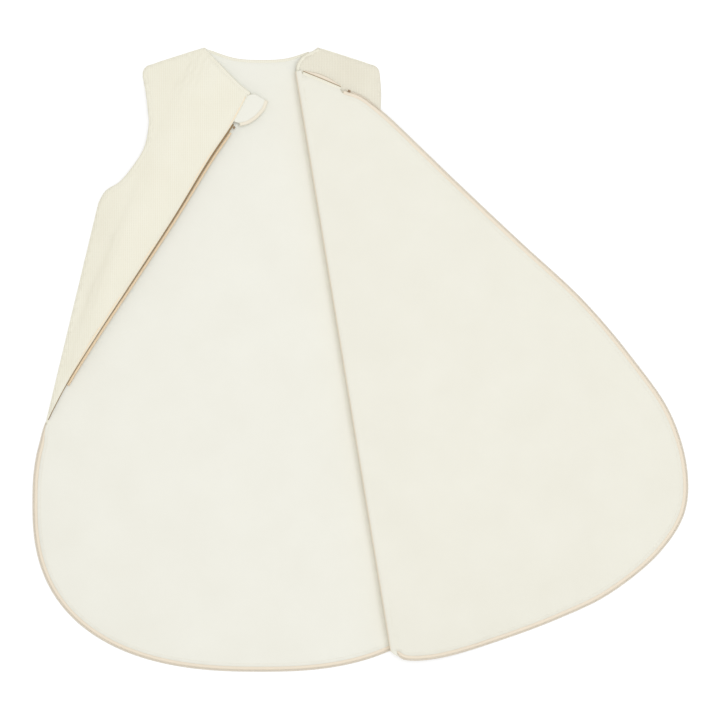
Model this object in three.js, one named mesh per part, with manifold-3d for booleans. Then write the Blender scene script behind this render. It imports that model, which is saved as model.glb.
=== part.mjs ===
// Baby sleeping bag, laid flat and unzipped, in millimetres, +Z up, neck towards +Y.
// Each padded panel is three sheets on one shared grid: outer cloth, wadding and lining.

import * as THREE from 'three'
import Module from 'manifold-3d'
import { mergeVertices } from 'three/addons/utils/BufferGeometryUtils.js'

// Outline of the garment, measured from its centre line and from the lowest point of the hem
const SHOULDER_HEIGHT = 701
const NECK_HALF = 63.5
const NECK_DROP = 13
const SHOULDER_HALF = 131.5
const SHOULDER_DROP = 27
const UNDERARM_HALF = 182
const UNDERARM_HEIGHT = 527
const SEAM_END_HALF = 240.8
const SEAM_END_HEIGHT = 282
const HEM_HALF_LEFT = 257.5
const HEM_HALF_RIGHT = 240
const HEM_CENTRE = 190
const HEM_EXPONENT = 2.5
const ARMHOLE_INSET = 6

// Right front: the fold line across the bag and the free edge of the part folded over. Points near
// the neck are given by their drop from the shoulder, and the others by their height.
const FOLD_TOP = [39.2, 27.9]
const FOLD_BOTTOM = [145.6, 24.6]
const FLAP_NECK = [72, 36]
const FLAP_NECK_END = [95, 48]
const FLAP_UPPER = [[112, 54], [134, 70], [196, 128]]
const FLAP_SIDE = [[291, 484], [363, 417], [417, 351], [458, 290], [476, 228]]
const FLAP_FOOT = [[473, 180], [447, 136], [390, 88], [337, 61.6]]
const FLAP_HEM = [[275, 38], [214, 20], [181, 14.8], [160, 15.5]]

// Left front: neckline end and upper zip edge, by the drop from the shoulder, and the lower zip
// edge, by the height above the end of the side seam
const LAPEL_NECK = [[-37, 28], [-23, 42], [-12.7, 50]]
const LAPEL_UPPER = [[-29, 81.6], [-57, 124]]
const LAPEL_LOWER = [[-97, 229], [-143, 158], [-183, 97], [-218, 42]]
const LAPEL_TIP_WIDTH = 4

// Cloth and wadding
const OUTER_CLOTH = 1.2
const LINING_CLOTH = 0.8
const LAYER_GAP = 0.3
const PANEL_THICKNESS = 5.5
const PUFF_SPAN = 30
const SEAM_GAP = 0.6
const LEFT_RISE = 7.5
const RIGHT_RISE = 9.5
const RISE_SPAN = 32
const FLAP_CLEARANCE = 0.6
const DRAPE_START = 18
const DRAPE_SPAN = 55

// Zip
const TAPE_THICKNESS = 0.6
const TAPE_SHOW = 3.7
const LAPEL_TAPE_SHOW = 1.6
const COIL = 2
const ZIP_GAP = 0.3
const COIL_PARTING = 1.8
const ZIP_STOP_LENGTH = 3
const ZIP_END_HALF = 206
const CHAIN_HEIGHT = 3.6
const CHAIN_LEAD = 40
const ZIP_FADE = 30
const SEAM_LEAD = 30

// Slider and pull tab
const SLIDER_PLATE = 1.2
const SLIDER_LENGTH = 13
const SLIDER_CLEARANCE = 0.9
const SLIDER_PARKED = 15
const FLANGE = 0.8
const FLANGE_CLEARANCE = 0.5
const INNER_PLATE = 1
const POST_HEIGHT = 1
const POST_LENGTH = 3
const LUG = 1
const LUG_HALF = 1.6
const LUG_CLEARANCE = 0.4
const EYE_BORE = 1.1
const EYE_WALL = 1.2
const PIN_RADIUS = 0.7
const TAB_LENGTH = 24
const TAB_WIDTH = 5.5
const TAB_THICKNESS = 1.4
const TAB_EYE_HEIGHT = 3
const TAB_NECK = 4.8

// Chin guard, by the drop from the shoulder, and neck binding
const GUARD_SPAN = [55, 82.5]
const GUARD_TOP = [-7.3, 52.5]
const GUARD_EDGE = [[7.8, 60.4], [4.5, 69.3], [0, 75], [-5.6, 80.5], [-14.6, 86.1], [-23.5, 88.4]]
const GUARD_BINDING = 3.5
const GUARD_CLOTH = 0.55
const GUARD_DROP = 1.2
const BINDING_WIDTH = 3
const BINDING_THICKNESS = 2.1

// Where the grids of the panels turn their corners: shares of an edge, and a length along the flap
const HEM_CORNER = 0.62
const FLAP_CORNER = 0.66
const FLAP_BEND = 48

const wasm = await Module()
wasm.setup()

// Plane geometry helpers, on points written [x, y]

const smooth = t => {
  const c = Math.min(Math.max(t, 0), 1)
  return c * c * (3 - 2 * c)
}
const mix = (a, b, t) => [a[0] + (b[0] - a[0]) * t, a[1] + (b[1] - a[1]) * t]
const gap = (a, b) => Math.hypot(b[0] - a[0], b[1] - a[1])

function spline(points, count = 160) {
  const places = points.map(p => new THREE.Vector3(p[0], p[1], 0))
  const curve = new THREE.CatmullRomCurve3(places, false, 'centripetal')
  return curve.getPoints(count).map(p => [p.x, p.y])
}

function along(line, share) {
  const lengths = [0]
  for (let i = 1; i < line.length; i++) lengths.push(lengths[i - 1] + gap(line[i - 1], line[i]))
  const want = share * lengths.at(-1)
  let i = 1
  while (i < line.length - 1 && lengths[i] < want) i++
  const span = lengths[i] - lengths[i - 1]
  return mix(line[i - 1], line[i], span > 0 ? (want - lengths[i - 1]) / span : 0)
}

function nearest(line, p) {
  let best = { distance: Infinity, point: line[0] }
  for (let i = 1; i < line.length; i++) {
    const a = line[i - 1]
    const b = line[i]
    const size = gap(a, b) ** 2
    const dot = (p[0] - a[0]) * (b[0] - a[0]) + (p[1] - a[1]) * (b[1] - a[1])
    const point = mix(a, b, size > 0 ? Math.min(Math.max(dot / size, 0), 1) : 0)
    const distance = gap(point, p)
    if (distance < best.distance) best = { distance, point }
  }
  return best
}

// Moves a line sideways: a positive amount moves it to the right of its direction
function shifted(line, amount) {
  return line.map((p, i) => {
    const a = line[Math.max(i - 1, 0)]
    const b = line[Math.min(i + 1, line.length - 1)]
    const size = gap(a, b)
    const by = typeof amount === 'function' ? amount(p) : amount
    return [p[0] + (b[1] - a[1]) / size * by, p[1] - (b[0] - a[0]) / size * by]
  })
}

function inside(outline, p) {
  let hit = false
  for (let i = 0, j = outline.length - 1; i < outline.length; j = i++) {
    const [a, b] = [outline[i], outline[j]]
    const crosses = (a[1] > p[1]) !== (b[1] > p[1])
    if (crosses && p[0] < (b[0] - a[0]) * (p[1] - a[1]) / (b[1] - a[1]) + a[0]) hit = !hit
  }
  return hit
}

const mirrored = line => line.map(p => [-p[0], p[1]])
const hung = ([x, drop]) => [x, SHOULDER_HEIGHT - drop]

// Lines of the garment, each running down from the neck

const bindingRoom = ZIP_GAP + BINDING_WIDTH
const neckBack = shifted(spline([
  [-NECK_HALF, SHOULDER_HEIGHT],
  [-NECK_HALF * 0.45, SHOULDER_HEIGHT - NECK_DROP * 0.86],
  [0, SHOULDER_HEIGHT - NECK_DROP],
  [NECK_HALF * 0.45, SHOULDER_HEIGHT - NECK_DROP * 0.86],
  [NECK_HALF, SHOULDER_HEIGHT],
], 40), bindingRoom)
const neckPointLeft = neckBack[0]
const neckPointRight = neckBack.at(-1)
const shoulderTip = [SHOULDER_HALF, SHOULDER_HEIGHT - SHOULDER_DROP]
const underarm = [UNDERARM_HALF, UNDERARM_HEIGHT]
const armhole = spline([
  shoulderTip,
  [SHOULDER_HALF - ARMHOLE_INSET, UNDERARM_HEIGHT + 93],
  [SHOULDER_HALF - 1, UNDERARM_HEIGHT + 62],
  [SHOULDER_HALF + 26, UNDERARM_HEIGHT + 23],
  underarm,
], 60)

// Half of the hem as a superellipse, from the seam end round to the centre line
function hemHalf(half, startHeight) {
  const depth = HEM_CENTRE
  const power = 2 / HEM_EXPONENT
  const start = -Math.asin(((startHeight - HEM_CENTRE) / depth) ** (1 / power))
  const points = []
  for (let i = 0; i <= 160; i++) {
    const angle = start + (Math.PI / 2 - start) * i / 160
    const drop = Math.sign(angle) * Math.abs(Math.sin(angle)) ** power
    points.push([half * Math.max(Math.cos(angle), 0) ** power, HEM_CENTRE - depth * drop])
  }
  return points
}

const hemLeft = mirrored(hemHalf(HEM_HALF_LEFT, SEAM_END_HEIGHT))
const hemRight = hemHalf(HEM_HALF_RIGHT, SEAM_END_HEIGHT)
const seamEndLeft = [-SEAM_END_HALF, SEAM_END_HEIGHT]
const seamEndRight = hemRight[0]
const zipShow = ZIP_GAP + TAPE_SHOW + ZIP_GAP + COIL
const stopIndex = hemRight.findIndex(p => p[1] < HEM_CENTRE && p[0] < ZIP_END_HALF)
const zipEnd = hemRight[stopIndex]

// The panel's own edge lies behind the zip, and meets the seams where the zip ends
const insetLeft = p => -zipShow * smooth(gap(p, seamEndLeft) / ZIP_FADE)
const insetRight = p => zipShow * (p[1] > zipEnd[1] ? 1 - smooth((gap(p, zipEnd) - ZIP_FADE) / ZIP_FADE) : 1)
const hemPanelLeft = shifted(hemLeft, insetLeft)
const hemPanelRight = shifted(hemRight, insetRight)
const sideLeft = [...mirrored(armhole), seamEndLeft]
const sideRight = [...armhole, seamEndRight]
const cornerLeft = Math.round(hemPanelLeft.length * HEM_CORNER)
const cornerRight = Math.round(hemPanelRight.length * HEM_CORNER)
const backLeft = [...sideLeft, ...hemPanelLeft.slice(1, cornerLeft + 1)]
const backRight = [...sideRight, ...hemPanelRight.slice(1, cornerRight + 1)]
const backTop = [sideLeft[0], ...neckBack, sideRight[0]]
const backBottom = [...hemPanelLeft.slice(cornerLeft), ...hemPanelRight.slice(cornerRight, -1).reverse()]
const hemAndLeft = [...backLeft, ...backBottom].reverse()
const backOutline = [...backTop, ...backRight.slice(1), ...hemAndLeft, backTop[0]]

// The fold line of the right front, and the axis inside the roll of cloth on it
const rollRadius = PANEL_THICKNESS + LAYER_GAP
const foldTop = hung(FOLD_TOP)
const foldLength = gap(foldTop, FOLD_BOTTOM)
const foldSide = [(foldTop[1] - FOLD_BOTTOM[1]) / foldLength, (FOLD_BOTTOM[0] - foldTop[0]) / foldLength]
const fromFold = (p, by) => [p[0] + foldSide[0] * by, p[1] + foldSide[1] * by]
const axisTop = fromFold(foldTop, rollRadius)
const axisBottom = fromFold(FOLD_BOTTOM, rollRadius)
const FOLD_EDGE = 0.4

// Seams that hold a front panel down on the back
const seamRight = [neckPointRight, sideRight[0]]
const sideSeamRight = [underarm, ...hemRight.slice(0, stopIndex).filter(p => gap(p, zipEnd) > SEAM_LEAD)]
const seamLeft = [neckPointLeft, sideLeft[0]]
const sideSeamLeft = [mirrored([underarm])[0], seamEndLeft]
const toSeams = (p, ...seams) => Math.min(...seams.map(s => nearest(s, p).distance))

// Heights

const edgeThickness = OUTER_CLOTH + LAYER_GAP + LINING_CLOTH
const puff = distance => edgeThickness + (PANEL_THICKNESS - edgeThickness) * smooth(distance / PUFF_SPAN)
const backThickness = p => puff(nearest(backOutline, p).distance)
const seamBase = edgeThickness + SEAM_GAP
const leftUnder = p => seamBase + LEFT_RISE * smooth(toSeams(p, seamLeft, sideSeamLeft) / RISE_SPAN)
const rightUnder = p => seamBase + RIGHT_RISE * smooth(toSeams(p, seamRight, sideSeamRight) / RISE_SPAN)
const foldHeight = seamBase + RIGHT_RISE + PANEL_THICKNESS + LAYER_GAP

// Grids: a patch between four edge lines, its rows and columns crowded towards the edges

const crowded = (t, amount = 0.6) => t - amount * Math.sin(2 * Math.PI * t) / (2 * Math.PI)

function patch({ left, right, top, bottom }, across, down) {
  const rows = []
  for (let j = 0; j <= down; j++) {
    const v = crowded(j / down)
    const row = []
    for (let i = 0; i <= across; i++) {
      const u = crowded(i / across)
      const side = mix(along(left, v), along(right, v), u)
      const topAt = along(top, u)
      const topLine = mix(top[0], top.at(-1), u)
      const bottomAt = along(bottom, u)
      const bottomLine = mix(bottom[0], bottom.at(-1), u)
      const pull = [0, 1].map(k => (1 - v) * (topAt[k] - topLine[k]) + v * (bottomAt[k] - bottomLine[k]))
      row.push([side[0] + pull[0], side[1] + pull[1]])
    }
    rows.push(row)
  }
  return rows
}

// Heights of a grid, kept by grid point, and the triangles a sheet over that grid is made of
const levels = (rows, surface) => new Map(rows.flat().map(p => [p, surface(p)]))

function cells(rows) {
  const triangles = []
  const push = (...corners) => {
    const [x, y] = [0, 1].map(k => corners.map(p => p[k]))
    const low = [Math.min(...x), Math.min(...y)]
    const high = [Math.max(...x), Math.max(...y)]
    triangles.push({ corners, low, high })
  }
  for (let j = 0; j < rows.length - 1; j++) {
    for (let i = 0; i < rows[0].length - 1; i++) {
      push(rows[j][i], rows[j + 1][i], rows[j + 1][i + 1])
      push(rows[j][i], rows[j + 1][i + 1], rows[j][i + 1])
    }
  }
  return triangles
}

// The triangle under a point, with the shares its three corners have there
function locate(triangles, p) {
  for (const { corners, low, high } of triangles) {
    if (p[0] < low[0] || p[0] > high[0] || p[1] < low[1] || p[1] > high[1]) continue
    const [a, b, c] = corners
    const area = (b[0] - a[0]) * (c[1] - a[1]) - (c[0] - a[0]) * (b[1] - a[1])
    const v = ((p[0] - a[0]) * (c[1] - a[1]) - (c[0] - a[0]) * (p[1] - a[1])) / area
    const w = ((b[0] - a[0]) * (p[1] - a[1]) - (p[0] - a[0]) * (b[1] - a[1])) / area
    const part = [1 - v - w, v, w]
    if (Math.min(...part) > -1e-9) return { corners, part }
  }
  return null
}
const heightAt = ({ corners, part }, level) => corners.reduce((sum, q, k) => sum + part[k] * level.get(q), 0)

// Points spread over every triangle of a grid
function spread(rows, parts = 4) {
  const points = []
  for (const { corners: [a, b, c] } of cells(rows)) {
    for (let i = 0; i <= parts; i++) {
      for (let k = 0; k <= parts - i; k++) {
        points.push(mix(mix(a, b, i / parts), c, i === parts ? 0 : k / parts))
      }
    }
  }
  return points
}

// Lifts the underside of a panel until it clears the tops of the panels it lies on
function settle(rows, start, tops, clearance) {
  const under = levels(rows, start)
  const own = cells(rows)
  const points = [rows, ...tops.map(top => top.rows)].flatMap(grid => spread(grid))
  const tests = []
  for (const p of points) {
    const above = locate(own, p)
    if (!above) continue
    for (const top of tops) {
      const below = locate(top.triangles, p)
      if (below) tests.push({ above, least: heightAt(below, top.level) + clearance })
    }
  }
  for (let round = 0; round < 60; round++) {
    for (const { above, least } of tests) {
      const short = least - heightAt(above, under)
      if (short <= 0) continue
      const weight = above.part.reduce((sum, w) => sum + w * w, 0)
      above.corners.forEach((q, k) => under.set(q, under.get(q) + short * above.part[k] / weight / 2))
    }
  }
  return under
}

function oriented(positions, index) {
  const corner = i => new THREE.Vector3(...positions[i])
  let volume = 0
  for (let i = 0; i < index.length; i += 3) {
    volume += corner(index[i]).dot(corner(index[i + 1]).cross(corner(index[i + 2])))
  }
  const geometry = new THREE.BufferGeometry()
  geometry.setAttribute('position', new THREE.Float32BufferAttribute(positions.flat(), 3))
  geometry.setIndex(volume < 0 ? [...index].reverse() : index)
  return geometry
}

// A closed sheet between two heights over a grid whose rows run down and columns to the right
function sheet(rows, low, high) {
  const down = rows.length
  const across = rows[0].length
  const positions = [high, low].flatMap(surface => rows.flat().map(p => [p[0], p[1], surface(p)]))
  const at = (i, j, layer) => layer * down * across + j * across + i
  const index = []
  const quad = (a, b, c, d) => index.push(a, b, c, a, c, d)
  for (let j = 0; j < down - 1; j++) {
    for (let i = 0; i < across - 1; i++) {
      quad(at(i, j, 0), at(i, j + 1, 0), at(i + 1, j + 1, 0), at(i + 1, j, 0))
      quad(at(i + 1, j + 1, 1), at(i, j + 1, 1), at(i, j, 1), at(i + 1, j, 1))
    }
  }
  const rim = []
  for (let i = 0; i < across - 1; i++) rim.push([i, 0])
  for (let j = 0; j < down - 1; j++) rim.push([across - 1, j])
  for (let i = across - 1; i > 0; i--) rim.push([i, down - 1])
  for (let j = down - 1; j > 0; j--) rim.push([0, j])
  rim.forEach((from, k) => {
    const to = rim[(k + 1) % rim.length]
    quad(at(...from, 0), at(...to, 0), at(...to, 1), at(...from, 1))
  })
  return oriented(positions, index)
}

// A closed strip through a row of rings, every ring a loop of the same number of points
function strip(rings) {
  const size = rings[0].length
  const index = []
  for (let i = 0; i < rings.length - 1; i++) {
    for (let k = 0; k < size; k++) {
      const [a, b] = [i * size + k, i * size + (k + 1) % size]
      index.push(a, b, b + size, a, b + size, a + size)
    }
  }
  const last = (rings.length - 1) * size
  for (let k = 1; k < size - 1; k++) {
    index.push(0, k + 1, k, last, last + k, last + k + 1)
  }
  return oriented(rings.flat(), index)
}

// Places along an edge, each with its outward direction, for tapes, coils and bindings
function stations(points, outward, level) {
  return points.map((p, i) => {
    const a = points[Math.max(i - 1, 0)]
    const b = points[Math.min(i + 1, points.length - 1)]
    const size = gap(a, b) * outward
    return { p, n: [(b[1] - a[1]) / size, (a[0] - b[0]) / size], z: level(p) }
  })
}
const reach = ({ p, n }, by) => [p[0] + n[0] * by, p[1] + n[1] * by]
const band = (places, ring) => strip(places.map(s => ring(s).map(([by, z]) => [...reach(s, by), z])))
const slab = (from, to, half) => ({ z }) => [
  [from, z - half], [to, z - half], [to, z + half], [from, z + half],
]

const group = new THREE.Group()

function add(name, geometry, material) {
  geometry.computeVertexNormals()
  const mesh = new THREE.Mesh(geometry, material)
  mesh.name = name
  group.add(mesh)
}

function finish(color, roughness, metalness = 0) {
  return new THREE.MeshStandardMaterial({ color, roughness, metalness })
}
const outerCloth = finish(0xebe5d2, 0.95)
const liningCloth = finish(0xf1efe3, 0.9)
const wadding = finish(0xfafaf7, 1)
const tapeCloth = finish(0xead9c2, 0.8)
const coilPlastic = finish(0xdcc8ac, 0.5)
const zipMetal = finish(0xb9b4a8, 0.35, 1)

// The largest block of a grid where there is room for wadding between the cloths
function core(rows, thickness) {
  const least = edgeThickness + 2 * LAYER_GAP
  const roomy = rows.map(row => row.map(p => thickness(p) >= least))
  let best = { cells: 0 }
  for (let top = 0; top < rows.length; top++) {
    const open = roomy[top].map(() => true)
    for (let bottom = top; bottom < rows.length; bottom++) {
      let run = 0
      for (let i = 0; i < open.length; i++) {
        open[i] &&= roomy[bottom][i]
        run = open[i] ? run + 1 : 0
        const cells = (run - 1) * (bottom - top)
        if (cells > best.cells) best = { cells, top, bottom, from: i - run + 1, to: i }
      }
    }
  }
  return rows.slice(best.top, best.bottom + 1).map(row => row.slice(best.from, best.to + 1))
}

// A padded panel. The outer cloth is above or below, and the wadding keeps off the sewn edges.
function panel(name, rows, under, thickness, outerAbove) {
  const lowerCloth = outerAbove ? LINING_CLOTH : OUTER_CLOTH
  const upperCloth = outerAbove ? OUTER_CLOTH : LINING_CLOTH
  const level = levels(rows, p => under.get(p) + thickness(p))
  const low = p => under.get(p)
  const top = p => level.get(p)
  const lower = sheet(rows, low, p => low(p) + lowerCloth)
  const upper = sheet(rows, p => top(p) - upperCloth, top)
  add(`${name}_outer`, outerAbove ? upper : lower, outerCloth)
  add(`${name}_lining`, outerAbove ? lower : upper, liningCloth)
  const floor = p => low(p) + lowerCloth + LAYER_GAP
  add(`${name}_wadding`, sheet(core(rows, thickness), floor, p => top(p) - upperCloth - LAYER_GAP), wadding)
  return { rows, level, triangles: cells(rows), middle: p => low(p) + edgeThickness / 2 }
}

// Back panel, lining up
const backRows = patch({ left: backLeft, right: backRight, top: backTop, bottom: backBottom }, 14, 20)
const back = panel('back', backRows, levels(backRows, () => 0), backThickness, false)

// Left front: the part held by the seams, and the lapel that folds back along a line from neck to seam end
const lapelNeck = shifted(spline([[-NECK_HALF, SHOULDER_HEIGHT], ...LAPEL_NECK.map(hung)], 24), bindingRoom)
const lapelLower = LAPEL_LOWER.map(([x, rise]) => [x, SEAM_END_HEIGHT + rise])
const lapelSide = spline([lapelNeck.at(-1), ...LAPEL_UPPER.map(hung), ...lapelLower, seamEndLeft], 120)
const seamLine = [neckPointLeft, seamEndLeft]
const lapelCut = lapelSide.findIndex((p, i) => (
  i > lapelSide.length / 2 && nearest(seamLine, p).distance < LAPEL_TIP_WIDTH
))
const lapelFree = lapelSide.slice(0, lapelCut + 1)
const hingeEnd = nearest(seamLine, lapelFree.at(-1)).point
const hingeLine = [neckPointLeft, hingeEnd]
const hingeRight = shifted(hingeLine, -FOLD_EDGE / 2)
const hingeLeft = shifted(hingeLine, FOLD_EDGE / 2)
const lapelTop = [hingeRight[0], ...lapelNeck.slice(1, -1), lapelFree[0]]
const lapelRows = patch({
  left: hingeRight,
  right: lapelFree,
  top: lapelTop,
  bottom: [hingeRight[1], lapelFree.at(-1)],
}, 5, 16)
const lapelThickness = p => puff(Math.min(nearest(lapelTop, p).distance, nearest(lapelFree, p).distance))
const lapelUnder = settle(lapelRows, leftUnder, [back], SEAM_GAP)
const lapel = panel('left_lapel', lapelRows, lapelUnder, lapelThickness, true)

const heldSide = sideLeft.slice(0, -1)
const heldFoot = nearest([sideLeft.at(-2), seamEndLeft], hingeEnd).point
heldSide.push(heldFoot)
const heldRows = patch({
  left: heldSide,
  right: hingeLeft,
  top: [heldSide[0], hingeLeft[0]],
  bottom: [heldFoot, hingeLeft[1]],
}, 5, 16)
const heldThickness = p => puff(Math.min(nearest(seamLeft, p).distance, nearest(heldSide, p).distance))
const heldUnder = settle(heldRows, leftUnder, [back], SEAM_GAP)
panel('left_front', heldRows, heldUnder, heldThickness, true)

// Right front: the part that stays, between the fold axis and the seams
const foldEdge = [fromFold(axisTop, FOLD_EDGE), fromFold(axisBottom, FOLD_EDGE)]
const stayHem = hemPanelRight.slice(stopIndex).filter(p => p[0] > foldEdge[1][0]).reverse()
const stayFoot = stayHem[0]
const staySide = [...sideRight, ...hemPanelRight.slice(1, stopIndex + 1)]
const stayFold = [foldEdge[0], nearest(foldEdge, stayFoot).point]
const stayTop = [stayFold[0], neckPointRight, staySide[0]]
const stayRows = patch({
  left: stayFold,
  right: staySide,
  top: stayTop,
  bottom: [stayFold[1], ...stayHem.slice(1, -1), staySide.at(-1)],
}, 9, 20)
const stayEdges = [...stayTop, ...staySide, ...[...stayHem].reverse()]
const stayThickness = p => puff(nearest(stayEdges, p).distance)
const stayUnder = settle(stayRows, rightUnder, [back], SEAM_GAP)
const stay = panel('right_front', stayRows, stayUnder, stayThickness, true)

// Flap: the rest of the right front, folded over to the right. It lies on the part that stays,
// and comes down to the floor beyond the back panel.
const flapNeckCorner = hung(FLAP_NECK_END)
const flapUpper = [flapNeckCorner, ...FLAP_UPPER.map(hung)]
const flapFoot = [axisBottom[0], axisBottom[1] - zipShow]
const flapOuterLine = spline([...flapUpper, ...FLAP_SIDE, ...FLAP_FOOT, ...FLAP_HEM, flapFoot], 240)
const flapLine = shifted(flapOuterLine, zipShow).filter(p => p[0] > foldEdge[1][0] || p[1] > HEM_CENTRE)
const stayOutline = [...stayTop, ...staySide.slice(1), ...[...stayHem].reverse(), stayFold[1]]
const stayHeight = p => rightUnder(p) + stayThickness(p) + FLAP_CLEARANCE
const freeEdge = [...staySide, ...[...stayHem].reverse()]
function flapUnder(p) {
  if (inside(stayOutline, fromFold(p, 1))) return stayHeight(p)
  const edge = nearest(freeEdge, p)
  return stayHeight(edge.point) * (1 - smooth((edge.distance - DRAPE_START) / DRAPE_SPAN))
}
const flapCorner = Math.round(flapLine.length * FLAP_CORNER)
const flapBend = flapLine.findIndex(p => gap(p, flapLine[0]) > FLAP_BEND)
const flapNeck = spline([foldEdge[0], hung(FLAP_NECK), flapNeckCorner], 30)
function neckInset(p) {
  if (p[0] <= foldEdge[0][0]) return 0
  return bindingRoom + (zipShow - bindingRoom) * smooth(1 - gap(p, flapNeckCorner) / ZIP_FADE)
}
const flapTop = [...shifted(flapNeck, neckInset).slice(0, -1), ...flapLine.slice(0, flapBend + 1)]
const flapRows = patch({
  left: foldEdge,
  right: flapLine.slice(flapBend, flapCorner + 1),
  top: flapTop,
  bottom: [foldEdge[1], ...flapLine.slice(flapCorner).reverse()],
}, 15, 22)
const flapEdges = [...flapTop, ...flapLine]
const flapThickness = p => puff(nearest(flapEdges, p).distance)
const settled = settle(flapRows, flapUnder, [back, stay], FLAP_CLEARANCE)
const flap = panel('flap', flapRows, settled, flapThickness, false)

// Neck binding, a folded band along each panel's neckline
const binding = (name, points, outward, panelOf) => {
  const places = stations(points, outward, panelOf.middle)
  add(name, band(places, slab(ZIP_GAP, bindingRoom, BINDING_THICKNESS / 2)), outerCloth)
}
binding('back_neck_binding', backRows[0].filter(p => Math.abs(p[0]) < NECK_HALF), -1, back)
binding('left_neck_binding', lapelRows[0], -1, lapel)
binding('right_neck_binding', stayRows[0].filter(p => p[0] < neckPointRight[0]), -1, stay)
const flapNeckEnd = flapRows[0].findIndex(p => p[0] > flapLine[0][0])
binding('flap_neck_binding', flapRows[0].slice(0, flapNeckEnd), -1, flap)

// Solids joined or cut, each written as a closed three.js geometry
function solid(geometry) {
  geometry.deleteAttribute('normal')
  geometry.deleteAttribute('uv')
  const merged = mergeVertices(geometry)
  const vertProperties = new Float32Array(merged.attributes.position.array)
  const triVerts = new Uint32Array(merged.index.array)
  return new wasm.Manifold(new wasm.Mesh({ numProp: 3, vertProperties, triVerts }))
}
function meshed(manifold) {
  const mesh = manifold.getMesh()
  const geometry = new THREE.BufferGeometry()
  geometry.setAttribute('position', new THREE.BufferAttribute(mesh.vertProperties, 3))
  geometry.setIndex(new THREE.BufferAttribute(mesh.triVerts, 1))
  return geometry
}
function brick(x, y, z) {
  const [w, d, h] = [x, y, z].map(range => range[1] - range[0])
  return solid(new THREE.BoxGeometry(w, d, h).translate(x[0] + w / 2, y[0] + d / 2, z[0] + h / 2))
}
function rod(radius, x, z) {
  const geometry = new THREE.CylinderGeometry(radius, radius, z[1] - z[0], 24)
  return solid(geometry.rotateX(Math.PI / 2).translate(x, 0, (z[0] + z[1]) / 2))
}

// Zip: a tape along the panel's edge and a coil along the tape. Heights are those of the tape at the
// panel, of the tape at the coil, and of the coil.
const flat = ({ z }) => [z, z, z]
const coilRing = (start, z) => slab(start, start + COIL, COIL / 2)({ z })
function zip(name, tapePlaces, coilPlaces, width, heights) {
  const tapeEnd = ZIP_GAP + width
  add(`zip_tape_${name}`, band(tapePlaces, s => {
    const [inner, outer] = heights(s)
    const half = TAPE_THICKNESS / 2 * Math.hypot(1, (outer - inner) / width)
    const under = [[ZIP_GAP, inner - half], [tapeEnd, outer - half]]
    return [...under, [tapeEnd, outer + half], [ZIP_GAP, inner + half]]
  }), tapeCloth)
  add(`zip_coil_${name}`, band(coilPlaces, s => coilRing(tapeEnd + ZIP_GAP, heights(s)[2])), coilPlastic)
}

// A zip edge with a top stop at its neck end
function stoppedZip(name, points, width, middle) {
  const by = length => mix(points[0], points[1], length / gap(points[0], points[1]))
  const z = middle(points[0])
  const level = p => (points.includes(p) ? middle(p) : z)
  const coilPoints = [by(ZIP_STOP_LENGTH + ZIP_GAP), ...points.slice(1)]
  zip(name, stations(points, -1, level), stations(coilPoints, -1, level), width, flat)
  const start = ZIP_GAP * 2 + width
  const stopPlaces = stations([points[0], by(ZIP_STOP_LENGTH)], -1, level)
  const stopRing = slab(start, start + COIL + ZIP_GAP, COIL / 2 + ZIP_GAP)
  add(`zip_top_stop_${name}`, band(stopPlaces, stopRing), zipMetal)
}
const guardFoot = SHOULDER_HEIGHT - GUARD_SPAN[1]
const lapelZipSide = lapelRows.map(row => row.at(-1)).filter(p => p[1] < guardFoot - ZIP_GAP)
stoppedZip('lapel', lapelZipSide, LAPEL_TAPE_SHOW, lapel.middle)
const flapSide = [...flapRows[0].slice(flapNeckEnd), ...flapRows.slice(1).map(row => row.at(-1))]
stoppedZip('flap', [...flapSide, ...flapRows.at(-1).slice(0, -1).reverse()], TAPE_SHOW, flap.middle)

// The stretch right of the fold, where the front's hem stays over the back's: the front coil stands
// over the back coil, closed between the slider and the bottom stop and parted left of the slider
const frontShut = CHAIN_HEIGHT + COIL + ZIP_GAP
const frontOpen = CHAIN_HEIGHT + COIL + COIL_PARTING
const chainHem = hemPanelRight.slice(stopIndex)
const chainLengths = [0]
for (let i = 1; i < chainHem.length; i++) {
  chainLengths.push(chainLengths[i - 1] + gap(chainHem[i - 1], chainHem[i]))
}
function chainAt(length) {
  const i = Math.max(chainLengths.findIndex(l => l > length), 1)
  const [before, after] = chainLengths.slice(i - 1, i + 1)
  return mix(chainHem[i - 1], chainHem[i], (length - before) / (after - before))
}
const chainStart = ZIP_STOP_LENGTH + ZIP_GAP
const chainEnd = chainLengths[chainHem.findIndex(p => p[0] < foldEdge[1][0]) - 1]
const chainShares = Array.from({ length: 12 }, (_, i) => i / 11)
const chainSteps = chainShares.map(share => chainAt(chainStart + (chainEnd - chainStart) * share))
const fromStop = p => gap(p, chainHem[0])

const hemLeftEdge = backRows.map(row => row[0]).filter(p => p[1] < SEAM_END_HEIGHT - ZIP_FADE * 0.7)
const hemRightEdge = backRows.slice(0, -1).reverse().map(row => row.at(-1))
const hemEdge = [...hemLeftEdge, ...backRows.at(-1).slice(1), ...hemRightEdge]
const openHem = hemEdge.filter(p => p[1] < SEAM_END_HEIGHT && p[0] < chainSteps.at(-1)[0] - COIL)
const backTape = stations([...openHem, ...[...chainSteps].reverse(), chainHem[0]], 1, () => edgeThickness / 2)
const backCoils = stations([...openHem, ...[...chainSteps].reverse()], 1, () => edgeThickness / 2)
zip('back', backTape, backCoils, TAPE_SHOW, ({ p, z }) => {
  const t = p[1] < HEM_CENTRE ? smooth((p[0] - foldEdge[1][0] + CHAIN_LEAD) / CHAIN_LEAD) : 0
  return [z, z + (CHAIN_HEIGHT - COIL / 2 - z) * t, z + (CHAIN_HEIGHT - z) * t]
})

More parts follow.
